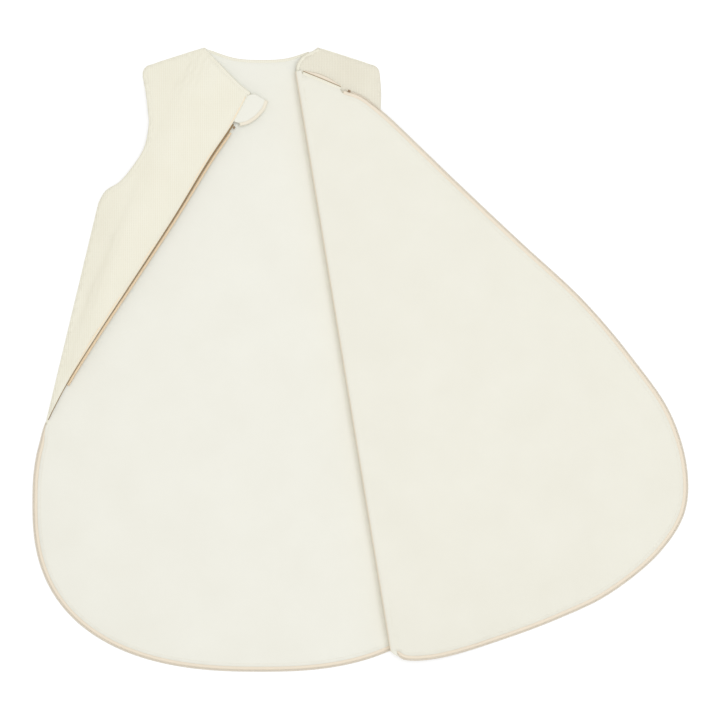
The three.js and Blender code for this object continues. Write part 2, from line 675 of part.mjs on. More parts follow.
const stayHemPoints = stayRows.at(-1)
function stayHemHeight(p) {
  const places = stayHemPoints.slice(1).map((b, i) => [stayHemPoints[i], b])
  const [a, b] = places.sort((m, n) => nearest(m, p).distance - nearest(n, p).distance)[0]
  return stay.middle(a) + (stay.middle(b) - stay.middle(a)) * gap(a, nearest([a, b], p).point) / gap(a, b)
}
const frontTape = stations([chainHem[0], ...chainSteps], -1, stayHemHeight)
const frontCoil = stations(chainSteps, -1, stayHemHeight)
zip('front', frontTape, frontCoil, TAPE_SHOW, ({ p, z }) => {
  const open = smooth((fromStop(p) - chainStart - ZIP_STOP_LENGTH) / (SLIDER_PARKED - ZIP_STOP_LENGTH))
  const coil = frontShut + (frontOpen - frontShut) * open
  return [z, coil + TAPE_THICKNESS, coil]
})

const chainCentre = (CHAIN_HEIGHT + frontShut) / 2
const stopPlaces = stations([chainHem[0], chainAt(ZIP_STOP_LENGTH)], -1, () => chainCentre)
const stopStart = ZIP_GAP * 2 + TAPE_SHOW
const stopRing = slab(stopStart, stopStart + COIL + ZIP_GAP, COIL + ZIP_GAP)
add('zip_bottom_stop', band(stopPlaces, stopRing), zipMetal)

// Slider: an inner and an outer plate joined by a post, with lips round the coils and two lugs
// holding the pin of the pull tab. Local x points out of the hem and y along it to the stop.
const sliderAt = chainStart + SLIDER_PARKED + SLIDER_LENGTH / 2
const sliderPlace = stations([-2, 0, 2].map(by => chainAt(sliderAt + by)), -1, () => 0)[1]
const plateStart = stopStart + COIL + SLIDER_CLEARANCE
const plateEnd = plateStart + SLIDER_PLATE
const chainLow = CHAIN_HEIGHT - COIL / 2
const chainHigh = frontOpen + COIL / 2
const chainMiddle = (chainLow + chainHigh) / 2
const lipLow = chainLow - FLANGE_CLEARANCE - FLANGE
const lipHigh = chainHigh + FLANGE_CLEARANCE + FLANGE
const postStart = ZIP_GAP + TAPE_SHOW - INNER_PLATE * 1.6
const pinOut = plateEnd + EYE_BORE + EYE_WALL + ZIP_GAP
const lugIn = TAB_EYE_HEIGHT / 2 + LUG_CLEARANCE
const wide = [-SLIDER_LENGTH / 2, SLIDER_LENGTH / 2]
const placed = geometry => geometry
  .rotateZ(Math.atan2(sliderPlace.n[1], sliderPlace.n[0]))
  .translate(...sliderPlace.p, 0)
const slider = [
  brick([plateStart, plateEnd], wide, [lipLow, lipHigh]),
  brick([stopStart + ZIP_GAP / 2, plateEnd], wide, [lipLow, lipLow + FLANGE]),
  brick([stopStart + ZIP_GAP / 2, plateEnd], wide, [lipHigh - FLANGE, lipHigh]),
  brick([postStart, postStart + INNER_PLATE], wide, [chainLow + FLANGE, chainHigh - FLANGE * 1.5]),
  brick([postStart, plateEnd], [-POST_LENGTH / 2, POST_LENGTH / 2],
    [chainMiddle - POST_HEIGHT / 2, chainMiddle + POST_HEIGHT / 2]),
  ...[-1, 1].map(side => {
    const faces = [chainMiddle + side * lugIn, chainMiddle + side * (lugIn + LUG)].sort((m, n) => m - n)
    return brick([plateEnd - ZIP_GAP, pinOut + PIN_RADIUS + EYE_WALL / 2], [-LUG_HALF, LUG_HALF], faces)
  }),
  rod(PIN_RADIUS, pinOut, [chainMiddle - lugIn - LUG / 2, chainMiddle + lugIn + LUG / 2]),
].reduce((whole, piece) => whole.add(piece))
add('zip_slider', placed(meshed(slider)), zipMetal)

const eye = [chainMiddle - TAB_EYE_HEIGHT / 2, chainMiddle + TAB_EYE_HEIGHT / 2]
const tabSide = [pinOut - TAB_THICKNESS / 2, pinOut + TAB_THICKNESS / 2]
const tab = rod(EYE_BORE + EYE_WALL, pinOut, eye)
  .add(brick(tabSide, [EYE_BORE, TAB_NECK + 1], eye))
  .add(brick(tabSide, [TAB_NECK, TAB_LENGTH], [chainMiddle - TAB_WIDTH / 2, chainMiddle + TAB_WIDTH / 2]))
  .subtract(rod(EYE_BORE, pinOut, [eye[0] - 1, eye[1] + 1]))
add('zip_pull_tab', placed(meshed(tab)), zipMetal)

// Chin guard, hinged along its sewn edge beside the lapel and folding back over it
const lapelAt = y => lapelFree.reduce((best, p) => (Math.abs(p[1] - y) < Math.abs(best[1] - y) ? p : best))
const guardEnds = GUARD_SPAN.map(drop => lapelAt(SHOULDER_HEIGHT - drop))
const guardHinge = shifted(guardEnds, -LAYER_GAP * 2)
const guardEdge = spline(GUARD_EDGE.map(hung), 24)
const guardInner = shifted(guardEdge, GUARD_BINDING + ZIP_GAP)
const guardRows = patch({
  left: guardHinge,
  right: guardInner,
  top: [guardHinge[0], hung(GUARD_TOP), guardInner[0]],
  bottom: [guardHinge[1], guardInner.at(-1)],
}, 4, 8)
const guardHigh = seamBase + LEFT_RISE + edgeThickness - GUARD_DROP / 2
const guardLow = guardHigh - GUARD_CLOTH * 2 - LAYER_GAP
add('chin_guard_top', sheet(guardRows, () => guardHigh - GUARD_CLOTH, () => guardHigh), liningCloth)
add('chin_guard_under', sheet(guardRows, () => guardLow, () => guardLow + GUARD_CLOTH), liningCloth)
const guardPlaces = stations(guardRows.map(row => row.at(-1)), -1, () => (guardHigh + guardLow) / 2)
const guardRing = slab(ZIP_GAP, ZIP_GAP + GUARD_BINDING, (guardHigh - guardLow) / 2)
add('chin_guard_binding', band(guardPlaces, guardRing), liningCloth)

const box = new THREE.Box3().setFromObject(group)
group.position.set(-(box.min.x + box.max.x) / 2, -(box.min.y + box.max.y) / 2, -box.min.z)

export default group
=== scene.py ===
# %% [markdown]
# # Baby sleeping bag, laid open
# The bag lies on its back panel, seen from straight above. Its right front is folded over to the
# right, so the lining shows, and its left front lies as it closes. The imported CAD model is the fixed
# frame: it says where each panel lies and what moves. Everything soft in it is made again here.

# %% Load the frame
import math

import bmesh
import bpy
import numpy as np
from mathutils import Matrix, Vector, geometry, noise
from mathutils.bvhtree import BVHTree


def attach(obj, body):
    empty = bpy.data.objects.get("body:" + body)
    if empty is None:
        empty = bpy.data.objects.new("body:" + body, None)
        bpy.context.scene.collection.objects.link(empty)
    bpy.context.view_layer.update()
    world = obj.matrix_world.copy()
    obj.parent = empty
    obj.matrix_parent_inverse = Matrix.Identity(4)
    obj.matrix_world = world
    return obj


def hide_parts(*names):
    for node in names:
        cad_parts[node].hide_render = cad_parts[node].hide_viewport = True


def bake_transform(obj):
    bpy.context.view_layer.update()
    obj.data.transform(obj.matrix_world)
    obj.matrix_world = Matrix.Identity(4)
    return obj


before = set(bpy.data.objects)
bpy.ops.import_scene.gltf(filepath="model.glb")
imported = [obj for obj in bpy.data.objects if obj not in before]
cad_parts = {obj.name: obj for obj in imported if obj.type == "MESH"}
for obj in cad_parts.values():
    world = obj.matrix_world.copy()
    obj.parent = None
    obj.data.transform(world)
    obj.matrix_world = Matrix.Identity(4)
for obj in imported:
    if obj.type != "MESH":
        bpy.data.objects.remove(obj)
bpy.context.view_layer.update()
print("nodes in the frame:", len(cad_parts))

# %% [markdown]
# ## The garment's lines
# A pattern cutter draws a bag as a few lines: neck, shoulder, armhole, side and a wide round hem. They
# are written here in millimetres from the centre line and the lowest hem point. They could be read
# from the frame, but its edges are coarse, and a curve through the pattern's own points is clean.

# %% Curves
# The frame's origin on the pattern, and the usual spacing of points along an edge.
ORIGIN, BAND_STEP = np.array([109.96866, 349.95430]), 2.5


def metres(line):
    return (np.array(line, float) - ORIGIN) / 1000


def ease(t):
    """A soft rise from 0 to 1."""
    c = np.clip(t, 0, 1)
    return c * c * (3 - 2 * c)


def spline(points, count):
    """A smooth curve through the points (centripetal Catmull-Rom)."""
    p = np.array(points, float)
    p = np.vstack([2 * p[0] - p[1], p, 2 * p[-1] - p[-2]])
    t = np.linspace(0, len(points) - 1, count + 1)
    i = np.minimum(t.astype(int), len(points) - 2)
    w = (t - i)[:, None]
    corners = [p[i + k] for k in range(4)]
    steps = [np.linalg.norm(b - a, axis=1)[:, None] ** 0.5 for a, b in zip(corners, corners[1:])]
    (p0, p1, p2, p3), (d0, d1, d2) = corners, steps
    m1 = ((p1 - p0) / d0 - (p2 - p0) / (d0 + d1) + (p2 - p1) / d1) * d1
    m2 = ((p2 - p1) / d1 - (p3 - p1) / (d1 + d2) + (p3 - p2) / d2) * d1
    return p1 + m1 * w + (3 * (p2 - p1) - 2 * m1 - m2) * w**2 + (2 * (p1 - p2) + m1 + m2) * w**3


# %% Offsets, lengths and distances
def left_of(line):
    """Unit vectors to the left of the line."""
    ahead = np.vstack([line[1:], line[-1:]])
    behind = np.vstack([line[:1], line[:-1]])
    d = ahead - behind
    return np.stack([-d[:, 1], d[:, 0]], 1) / np.linalg.norm(d, axis=1)[:, None]


def moved(line, amount):
    """The line moved to its left."""
    return line + left_of(line) * np.reshape(amount, (-1, 1))


def run_of(line):
    """Length of the line up to each of its points."""
    return np.concatenate([[0], np.cumsum(np.linalg.norm(np.diff(line, axis=0), axis=1))])


def length(line):
    return f"{run_of(line)[-1]:.0f} mm"


def evenly(line, step=BAND_STEP):
    """The same line with its points about step apart."""
    line = np.array(line, float)
    run = run_of(line)
    at = np.linspace(0, run[-1], max(round(run[-1] / step), 1) + 1)
    return np.stack([np.interp(at, run, line[:, k]) for k in range(line.shape[1])], 1)


def far(points, line):
    """Distance of each point from a line."""
    points, line = np.array(points, float), np.array(line, float)
    best = np.full(len(points), 1e9)
    for a, b in zip(line, line[1:]):
        d = b - a
        t = np.clip(((points - a) @ d) / max(d @ d, 1e-12), 0, 1)
        best = np.minimum(best, np.linalg.norm(points - a - t[:, None] * d, axis=1))
    return best


def near(line, point, size=12):
    """1 at the point and 0 from size millimetres away."""
    return 1 - ease(np.linalg.norm(line - point, axis=1) / size)


# %% Neck and armholes
# The outline is drawn round the neck binding and the zip, and the cloth ends this far inside it.
NECK_BAND, ZIP_BAND = 3.3, 6.3

neck_left, neck_right = np.array([-63.5, 701]), np.array([63.5, 701])
neck_back = spline([neck_left, [-28.6, 689.8], [0, 688], [28.6, 689.8], neck_right], 40)
neck_back = moved(neck_back, -NECK_BAND * (1 - near(neck_back, neck_left))
                  * (1 - near(neck_back, neck_right)))
shoulder_tip = [[122, 682.2], [127.7, 680.4], [131.4, 676.6], [132.6, 671]]
right_arm = [[134, 652], [133.6, 625], [134.5, 596]]
left_arm = [[129.2, 652], [126.4, 630.6], [125.4, 614.9], [130.4, 589.1]]
underarm = [[141.5, 570], [158.6, 549.8], [174, 540.2], [182, 527]]
armhole_right = spline([*shoulder_tip, *right_arm, *underarm], 90)
armhole_left = spline([*shoulder_tip, *left_arm, *underarm], 100) * [-1, 1]
print("armholes:", length(armhole_left), "and", length(armhole_right))

# %% Hem
# Where the side seam ends, where the hem is widest, its half widths and its roundness.
SIDE_END, HEM_MIDDLE = 282, 190
HEM_LEFT, HEM_RIGHT, HEM_POWER = 257.5, 240, 0.8
# Where the closed end of the zip starts, and the way that the zip's band takes to fade out.
ZIP_STOP_X, FADE = 206, 30


def hem_half(half):
    """A superellipse from the side seam's end to the lowest point."""
    start = -math.asin(((SIDE_END - HEM_MIDDLE) / HEM_MIDDLE) ** (1 / HEM_POWER))
    angle = np.linspace(start, math.pi / 2, 161)
    drop = np.sign(angle) * np.abs(np.sin(angle)) ** HEM_POWER
    reach = half * np.maximum(np.cos(angle), 0) ** HEM_POWER
    return np.stack([reach, HEM_MIDDLE - HEM_MIDDLE * drop], 1)


hem_left, hem_right = hem_half(HEM_LEFT) * [-1, 1], hem_half(HEM_RIGHT)
side_end_left = np.array([-240.8, SIDE_END])
zip_stop = int(np.argmax((hem_right[:, 1] < HEM_MIDDLE) & (hem_right[:, 0] < ZIP_STOP_X)))
zip_end = hem_right[zip_stop]
fade_left = ease(np.linalg.norm(hem_left - side_end_left, axis=1) / FADE)
fade_right = np.where(hem_right[:, 1] > zip_end[1],
                      1 - ease((np.linalg.norm(hem_right - zip_end, axis=1) - FADE) / FADE), 1)
hem_edge_left = moved(hem_left, ZIP_BAND * fade_left)
hem_edge_right = moved(hem_right, -ZIP_BAND * fade_right)
hem_under_flap = hem_edge_right[zip_stop:]
print("hem:", length(np.vstack([hem_left, hem_right[::-1]])))

# %% Fold and flap
# The fold is drawn where its roll is about widest. The joint's axis and the flap's edge lie inside it.
AXIS_IN, EDGE_PAST_AXIS = 5.8, 0.4

fold_top, fold_foot = np.array([39.2, 673.1]), np.array([145.6, 24.6])
fold_way = (fold_foot - fold_top) / np.linalg.norm(fold_foot - fold_top)
fold_right = np.array([-fold_way[1], fold_way[0]])
axis_top, axis_foot = (end + AXIS_IN * fold_right for end in (fold_top, fold_foot))
edge_top, edge_foot = (end + EDGE_PAST_AXIS * fold_right for end in (axis_top, axis_foot))

flap_outline = spline([
    [95, 653], [112, 647], [134, 631], [196, 573], [291, 484], [363, 417], [418, 352], [460, 290.8],
    [478.8, 228.3], [476.1, 179.2], [448.6, 134.6], [390.6, 87], [337.4, 61], [275.2, 37.4],
    [214.3, 19.4], [181, 14.2], [160, 15], axis_foot - [0, ZIP_BAND]], 240)
flap_free = moved(flap_outline, -ZIP_BAND)
flap_free = flap_free[(flap_free[:, 0] > edge_foot[0]) | (flap_free[:, 1] > HEM_MIDDLE)]
zip_start = np.array([94, 653.4])
flap_neck = spline([edge_top, [57.1, 669.2], [68.3, 664.6], [78.4, 660.3], [88, 656.2], zip_start], 30)
flap_inset = NECK_BAND + (ZIP_BAND - NECK_BAND) * near(flap_neck, zip_start, 5)
flap_inset[0] = 0
flap_neck = moved(flap_neck, -flap_inset)
print("flap's free edge:", length(flap_free))

# %% Lapel
# The lapel ends low down, where its free edge comes close to the line that it folds along.
LAPEL_LOW, LAPEL_TIP = 380, 4

lapel_neck = spline([neck_left, [-37, 673], [-23, 659], [-12.7, 651]], 24)
lapel_neck = moved(lapel_neck, -NECK_BAND * (1 - near(lapel_neck, neck_left)))
lapel_free = spline([
    lapel_neck[-1], [-29.6, 619.8], [-57.7, 577.4], [-97.7, 511.4], [-143.7, 440.4],
    [-183.7, 379.4], [-218.6, 324.3], side_end_left], 120)
hinge_line = np.array([neck_back[0], side_end_left])
at_tip = (lapel_free[:, 1] < LAPEL_LOW) & (far(lapel_free, hinge_line) < LAPEL_TIP)
lapel_stop = int(np.argmax(at_tip))
lapel_free, lapel_end = lapel_free[:lapel_stop + 1], lapel_free[lapel_stop:]
print("lapel's free edge:", length(lapel_free))

# %% [markdown]
# ## Reading the frame's heights
# Panels are soft and lie on each other, so their heights come from the frame: a ray down onto a CAD
# solid gives its top, and a ray up its underside. The CAD's own corners could be smoothed instead, but
# they are coarse. Where a smooth edge runs past the solid, the nearest height is used.

# %% Heights over a plan
def tree_of(mesh):
    mesh.calc_loop_triangles()
    corners = [t.vertices[:] for t in mesh.loop_triangles]
    return BVHTree.FromPolygons([v.co.copy() for v in mesh.vertices], corners)


trees = {name: tree_of(node.data) for name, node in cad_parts.items()}


def heights(points, some_trees, above):
    """Top of the trees at points in metres, or their underside."""
    sign = 1 if above else -1
    z = np.full(len(points), np.nan)
    for k, (x, y) in enumerate(points):
        hits = [t.ray_cast(Vector((x, y, sign)), Vector((0, 0, -sign)))[0] for t in some_trees]
        levels = [h.z for h in hits if h is not None]
        if levels:
            z[k] = max(levels) if above else min(levels)
    hit = np.flatnonzero(~np.isnan(z))
    for k in np.flatnonzero(np.isnan(z)):
        z[k] = z[hit[np.argmin(((points[hit] - points[k]) ** 2).sum(1))]]
    return z


def on_node(points, *nodes, above=True):
    return heights(points, [trees[n] for n in nodes], above)


print("solids that rays can meet:", len(trees))

# %% [markdown]
# ## A plan for each panel
# A cut piece of cloth is one flat outline. It is filled with even triangles by a constrained Delaunay
# triangulation, which keeps corners and curves clean where a stretched square grid would pinch. Along
# a fold the points stand in closer rows.

# %% Fill an outline with triangles
# Height of a row of even triangles, then the reach and spacing of the closer rows along a fold.
ROW, BEND, BEND_ROW = 0.866, 12, 1.5
# The triangulation keeps inner triangles only and takes points this close as one.
ONLY_INSIDE, TOUCHING = 1, 1e-6


def inside_of(points, outline):
    inside = np.zeros(len(points), bool)
    for a, b in zip(outline, np.roll(outline, -1, axis=0)):
        between = (a[1] > points[:, 1]) != (b[1] > points[:, 1])
        if a[1] != b[1]:
            inside ^= between & (points[:, 0] < (b[0] - a[0]) * (points[:, 1] - a[1]) / (b[1] - a[1]) + a[0])
    return inside


def plan(sides, step=4.5, fold=None):
    """Even triangles inside sides in millimetres, with closer rows along fold."""
    outline = np.vstack([evenly(side, step * 0.6)[:-1] for side in sides])
    closed = np.vstack([outline, outline[:1]])
    low, high = outline.min(0), outline.max(0)
    grid = []
    for j, y in enumerate(np.arange(low[1], high[1], step * ROW)):
        x = np.arange(low[0] + step / 2 * (j % 2), high[0], step)
        grid.append(np.stack([x, np.full(len(x), y)], 1))
    grid = np.vstack(grid)
    if fold is not None:
        close = [moved(evenly(fold, step), by) for by in np.arange(-BEND, BEND + 0.1, BEND_ROW)]
        grid = np.vstack([grid[far(grid, fold) > BEND + 1], *close])
    grid = grid[inside_of(grid, outline)]
    grid = grid[far(grid, closed) > step * 0.45]
    points = np.vstack([outline, grid])
    edges = [(k, (k + 1) % len(outline)) for k in range(len(outline))]
    made = geometry.delaunay_2d_cdt([Vector(p) for p in points], edges, [], ONLY_INSIDE, TOUCHING)
    corners, faces = (np.array([row[:] for row in rows]) for rows in (made[0], made[2]))
    a, b, c = (corners[faces[:, k]] for k in range(3))
    turned = (b[:, 0] - a[:, 0]) * (c[:, 1] - a[:, 1]) - (c[:, 0] - a[:, 0]) * (b[:, 1] - a[:, 1]) < 0
    faces[turned] = faces[turned][:, ::-1]
    return {"points": metres(corners), "faces": faces, "edge": far(corners, closed) / 1000}


# %% Rims, smoothing and soft unevenness
def sides_of(faces):
    return np.vstack([faces[:, [0, 1]], faces[:, [1, 2]], faces[:, [2, 0]]])


def rim_of(faces):
    """Edges that belong to one face only."""
    known = {(int(a), int(b)) for a, b in sides_of(faces)}
    return np.array([pair for pair in known if (pair[1], pair[0]) not in known])


def relaxed(values, faces, fixed, rounds=40):
    """Values drawn to the mean of their neighbours, except the fixed ones."""
    pairs = sides_of(faces)
    pairs = np.vstack([pairs, pairs[:, ::-1]])
    count = np.bincount(pairs[:, 0], minlength=len(values))
    for _ in range(rounds):
        total = np.bincount(pairs[:, 0], weights=values[pairs[:, 1]], minlength=len(values))
        values = np.where(fixed, values, total / np.maximum(count, 1))
    return values


def smoothed(values, reach):
    """Running mean over reach values to either side."""
    size = 2 * reach + 1
    return np.convolve(np.pad(values, reach, mode="edge"), np.ones(size) / size, "valid")


def uneven(points, size, seed):
    """Soft noise from 0 to 1 over points in metres."""
    return np.array([0.5 + 0.5 * noise.noise(Vector((x / size, y / size, seed))) for x, y in points])


# %% [markdown]
# ## Cloth, wadding and lining
# Each panel is sewn from outer cloth, wadding and lining. Each layer could be a plane with a Solidify
# modifier, but all three share one plan at different heights, so each is a closed shell between two
# heights, with a rounded lip where the cloth turns under.

# %% A piece with a map of its own
def placed(name, data):
    """A new object in the scene."""
    made = bpy.data.objects.new(name, data)
    bpy.context.scene.collection.objects.link(made)
    return made


def mesh_piece(name, points, faces, coordinates=None, smooth=True):
    """A piece whose coordinates, in metres, become its own map named cloth."""
    mesh = bpy.data.meshes.new(name)
    mesh.from_pydata([tuple(map(float, p)) for p in points], [], [tuple(map(int, f)) for f in faces])
    if coordinates is not None:
        layer = mesh.uv_layers.new(name="cloth")
        index = np.zeros(len(mesh.loops), int)
        mesh.loops.foreach_get("vertex_index", index)
        layer.data.foreach_set("uv", np.array(coordinates, float)[index].astype(np.float32).ravel())
    mesh.polygons.foreach_set("use_smooth", [smooth] * len(mesh.polygons))
    mesh.validate()
    return placed(name, mesh)


# %% A closed shell
def shell(name, flat, low, high, lip=0.0004, keep=None, plain=None):
    """A plan between two heights; keep picks its points, and no lip stands where plain is 1."""
    faces = flat["faces"]
    if keep is not None:
        faces = faces[keep[faces].all(1)]
    points = flat["points"]
    rim = rim_of(faces)
    out = np.zeros_like(points)
    d = points[rim[:, 1]] - points[rim[:, 0]]
    for end in (0, 1):
        np.add.at(out, rim[:, end], np.stack([d[:, 1], -d[:, 0]], 1))
    out /= np.maximum(np.linalg.norm(out, axis=1), 1e-9)[:, None]
    n = len(points)
    ring = np.unique(rim)
    place = np.full(n, -1)
    place[ring] = np.arange(len(ring)) + 2 * n
    lips = np.full((len(ring), 1), lip) if plain is None else lip * (1 - plain[ring])[:, None]
    middle = np.column_stack([points[ring] + out[ring] * lips, (high[ring] + low[ring]) / 2])
    a, b = rim[:, 0], rim[:, 1]
    walls = np.vstack([np.column_stack([a, place[a], place[b], b]),
                       np.column_stack([place[a], a + n, b + n, place[b]])])
    all_faces = [*faces, *(faces[:, ::-1] + n), *walls]
    levels = [np.column_stack([points, z]) for z in (high, low)]
    all_points = np.vstack([*levels, middle])
    used = np.unique(np.concatenate([np.ravel(f) for f in all_faces]))
    renumber = np.zeros(len(all_points), int)
    renumber[used] = np.arange(len(used))
    uv = np.vstack([points, points, points[ring]])
    made = mesh_piece(name, all_points[used], [renumber[np.array(f)] for f in all_faces], uv[used])
    made.data.set_sharp_from_angle(angle=math.radians(72))
    return made


# %% Three layers of one panel
# Thickness of each cloth, the room left between layers, and where wadding starts: at this thickness
# and this far from the edge.
OUTER, LINING, LAYER_GAP, WADDED = 0.0012, 0.0008, 0.0002, 0.0031
WADDING_INSET = 0.012
# The groove that an edge's stitches draw, its distance from the edge in millimetres, and the ripple.
GROOVE, STITCH_INSET, RIPPLE = 0.00045, 3.2, 0.0006


def panel(name, flat, solids, outer_above, seed, rest=False, folded=None):
    """Three layers at the heights of the CAD solids; no lip or groove runs along the line folded."""
    nodes = [f"{s}_{layer}" for s in solids for layer in ("outer", "lining")]
    points, faces, edge = flat["points"], flat["faces"], flat["edge"]
    fixed = edge < 1e-5
    high = relaxed(on_node(points, *nodes), faces, fixed)
    low = relaxed(on_node(points, *nodes, above=False), faces, fixed)
    wave = RIPPLE * (uneven(points, 0.09, seed) + 0.5 * uneven(points, 0.035, seed + 7)) * ease(edge / 0.05)
    high = high - wave if rest else high + wave
    low = low if rest else low + wave * 0.8
    plain = np.zeros(len(points))
    if folded is not None:
        plain = 1 - ease((far(points * 1000 + ORIGIN, folded) - 2) / 6)
    high = high - GROOVE * np.exp(-(((edge - STITCH_INSET / 1000) / 0.0007) ** 2)) * (1 - plain)
    cloths = [("outer", OUTER), ("lining", LINING)]
    (above, upper), (below, under) = cloths if outer_above else cloths[::-1]
    top = shell(f"{name}_{above}_cloth", flat, high - upper, high, plain=plain)
    bottom = shell(f"{name}_{below}_cloth", flat, low, low + under, plain=plain)
    deep = (high - low > WADDED) & (edge > WADDING_INSET)
    fill = shell(f"{name}_wadding_fill", flat, low + under + LAYER_GAP, high - upper - LAYER_GAP, keep=deep)
    print(name, "lies from", (low.min() * 1000).round(1), "to", (high.max() * 1000).round(1), "mm high")
    return {"flat": flat, "high": high, "low": low, "top": top, "bottom": bottom, "fill": fill,
            "tree": tree_of(top.data)}


# %% [markdown]
# ## The back panel
# The back carries the bag, and its lining is what the photograph shows most of: a wide drop shape that
# thins towards every sewn edge. It could be a scaled copy of the CAD solid, but that has flat facets,
# so its heights are read over a fine plan and smoothed.

# %% Back
back_sides = [armhole_left[::-1], np.vstack([armhole_left[:1], neck_back]),
              np.vstack([neck_back[-1:], armhole_right[:1]]), np.vstack([armhole_right, hem_edge_right]),
              hem_edge_left[::-1], np.vstack([hem_edge_left[:1], armhole_left[-1:]])]
back = panel("back", plan(back_sides), ["back"], False, 3, rest=True)

# %% [markdown]
# ## The left front and its lapel
# The left front is one piece of cloth, held down near the side seam and free beyond a line from the
# neck to the seam's end. It could be two pieces that meet there, as in the CAD, but it is built whole,
# with closer rows of points along that line.

# %% Left front
left_sides = [np.vstack([armhole_left[:1], neck_back[:1]]), lapel_neck, lapel_free,
              np.vstack([lapel_end, armhole_left[-1:]]), armhole_left[::-1]]
left_front = panel("left_front", plan(left_sides, fold=hinge_line), ["left_front", "left_lapel"], True, 11)

# %% [markdown]
# ## The right front: what stays and what folds over
# The right front is cut like the left and folded back over itself. One part stays at the shoulder and
# side seams. The flap lies on it, lining up, and comes down beyond the bag's side to the floor. One
# sheet can't fold flat on itself in a simple bend, so both are panels, and the roll below joins them.

# %% Right front and flap
stay_top = edge_top + 9 * fold_way
stay_neck = spline([stay_top, [43, 674], [43.5, 681], [49, 688.5], [57, 694], neck_back[-1]], 30)
stay_hem = hem_under_flap[hem_under_flap[:, 0] > edge_foot[0]]
stay_sides = [stay_neck, np.vstack([neck_back[-1:], armhole_right[:1]]),
              np.vstack([armhole_right, hem_edge_right[:zip_stop + 1]]), stay_hem,
              np.vstack([stay_hem[-1:], stay_top])]
stay = panel("right_front", plan(stay_sides), ["right_front"], True, 23)
flap_sides = [flap_neck, flap_free, np.vstack([flap_free[-1:], edge_foot, edge_top])]
flap = panel("flap", plan(flap_sides), ["flap"], False, 31, folded=[edge_top, edge_foot])

# %% [markdown]
# ## The roll along the fold
# Where the right front turns over, its lining runs round a soft roll, a half tube between the lining
# under the part that stays and the lining on the flap. A bevelled curve would have one round section,
# and this one follows both panels' heights, so it is built ring by ring.

# %% Heights along the fold
fold_stations = evenly([axis_top, axis_foot], 5)
fold_levels = [heights(metres(fold_stations + 0.9 * fold_right), [tree], above)
               for tree, above in ((flap["tree"], True), (tree_of(stay["bottom"].data), False))]
fold_levels.append(on_node(metres(fold_stations - 3 * fold_right), "back_lining") + 0.0004)
fold_levels = [smoothed(level, 3) for level in fold_levels]
print("roll's thickness:", ((fold_levels[0] - fold_levels[1]).mean() * 1000).round(1), "mm")

# %% Measures of the roll
# Steps of its half round, how far it stands out, how square it is, and cloth coordinate per radian.
ROLL_TURNS, ROLL_REACH, ROLL_POWER, ROLL_U = 14, 7.1, 0.65, 0.006
ROLL_RING = 2 * (ROLL_TURNS + 1)


def face_out(piece):
    work = bmesh.new()
    work.from_mesh(piece.data)
    bmesh.ops.recalc_face_normals(work, faces=work.faces)
    if work.calc_volume(signed=True) < 0:
        bmesh.ops.reverse_faces(work, faces=work.faces)
    work.to_mesh(piece.data)
    work.free()
    return piece


# %% Rings of the roll
def fold_roll(name, stations, cloth=0.8, pull=0.0):
    """A half tube through the stations; pull draws its rim back where it is widest."""
    along = [(line - axis_top) @ fold_way for line in (stations, fold_stations)]
    top, base, rest = (np.interp(*along, level) for level in fold_levels)
    points, uv = [], []
    for k, (x, y) in enumerate(stations):
        middle, half = (top[k] + base[k]) / 2, (top[k] - base[k]) / 2
        low = middle - rest[k]
        for layer in (0, cloth / 1000):
            for t in np.linspace(-math.pi / 2, math.pi / 2, ROLL_TURNS + 1):
                side = (ROLL_REACH - layer * 1000) * max(math.cos(t), 0) ** ROLL_POWER
                rise = math.copysign(abs(math.sin(t)) ** ROLL_POWER, t) * ((half if t > 0 else low) - layer)
                back_by = pull * (side / ROLL_REACH) ** 1.3 * (stations[0] - stations[k])
                spot = [x, y] + back_by - fold_right * side + 0.5 * fold_right
                points.append((*metres(spot), middle + rise))
                uv.append((t * ROLL_U, along[0][k] / 1000))
    faces = []
    for k in range(len(stations) - 1):
        loop = [*range(ROLL_TURNS + 1), *range(ROLL_RING - 1, ROLL_TURNS, -1)]
        for a, b in zip(loop, loop[1:] + loop[:1]):
            here, there = k * ROLL_RING, (k + 1) * ROLL_RING
            faces.append((a + here, b + here, b + there, a + there))
    for k, turned in ((0, False), (len(stations) - 1, True)):
        for m in range(ROLL_TURNS):
            quad = [m, ROLL_TURNS + 1 + m, ROLL_TURNS + 2 + m, m + 1]
            faces.append([q + k * ROLL_RING for q in (quad[::-1] if turned else quad)])
    made = mesh_piece(name, points, faces, uv)
    made.data.set_sharp_from_angle(angle=math.radians(60))
    return face_out(made)


roll = fold_roll("fold_roll_lining", fold_stations)
foot_stations = evenly([axis_foot - fold_way, axis_foot + 6.6 * fold_way], 1)
foot_tape = fold_roll("fold_foot_tape", foot_stations, 0.6, 0.95)
print("roll has", len(roll.data.polygons), "faces")

# %% [markdown]
# ## Bands: tapes, bindings and seams
# Zip tape, neck binding and turned seams are long narrow bands along an edge. They could be bevelled
# curves, but a swept profile can widen and rise on its way. It is placed at each point of the edge,
# measured out from it and up, and its coordinates run along and across it, so a weave follows.

# %% Sweep a profile along an edge
# The least height above the floor.
OFF_FLOOR = 0.00005


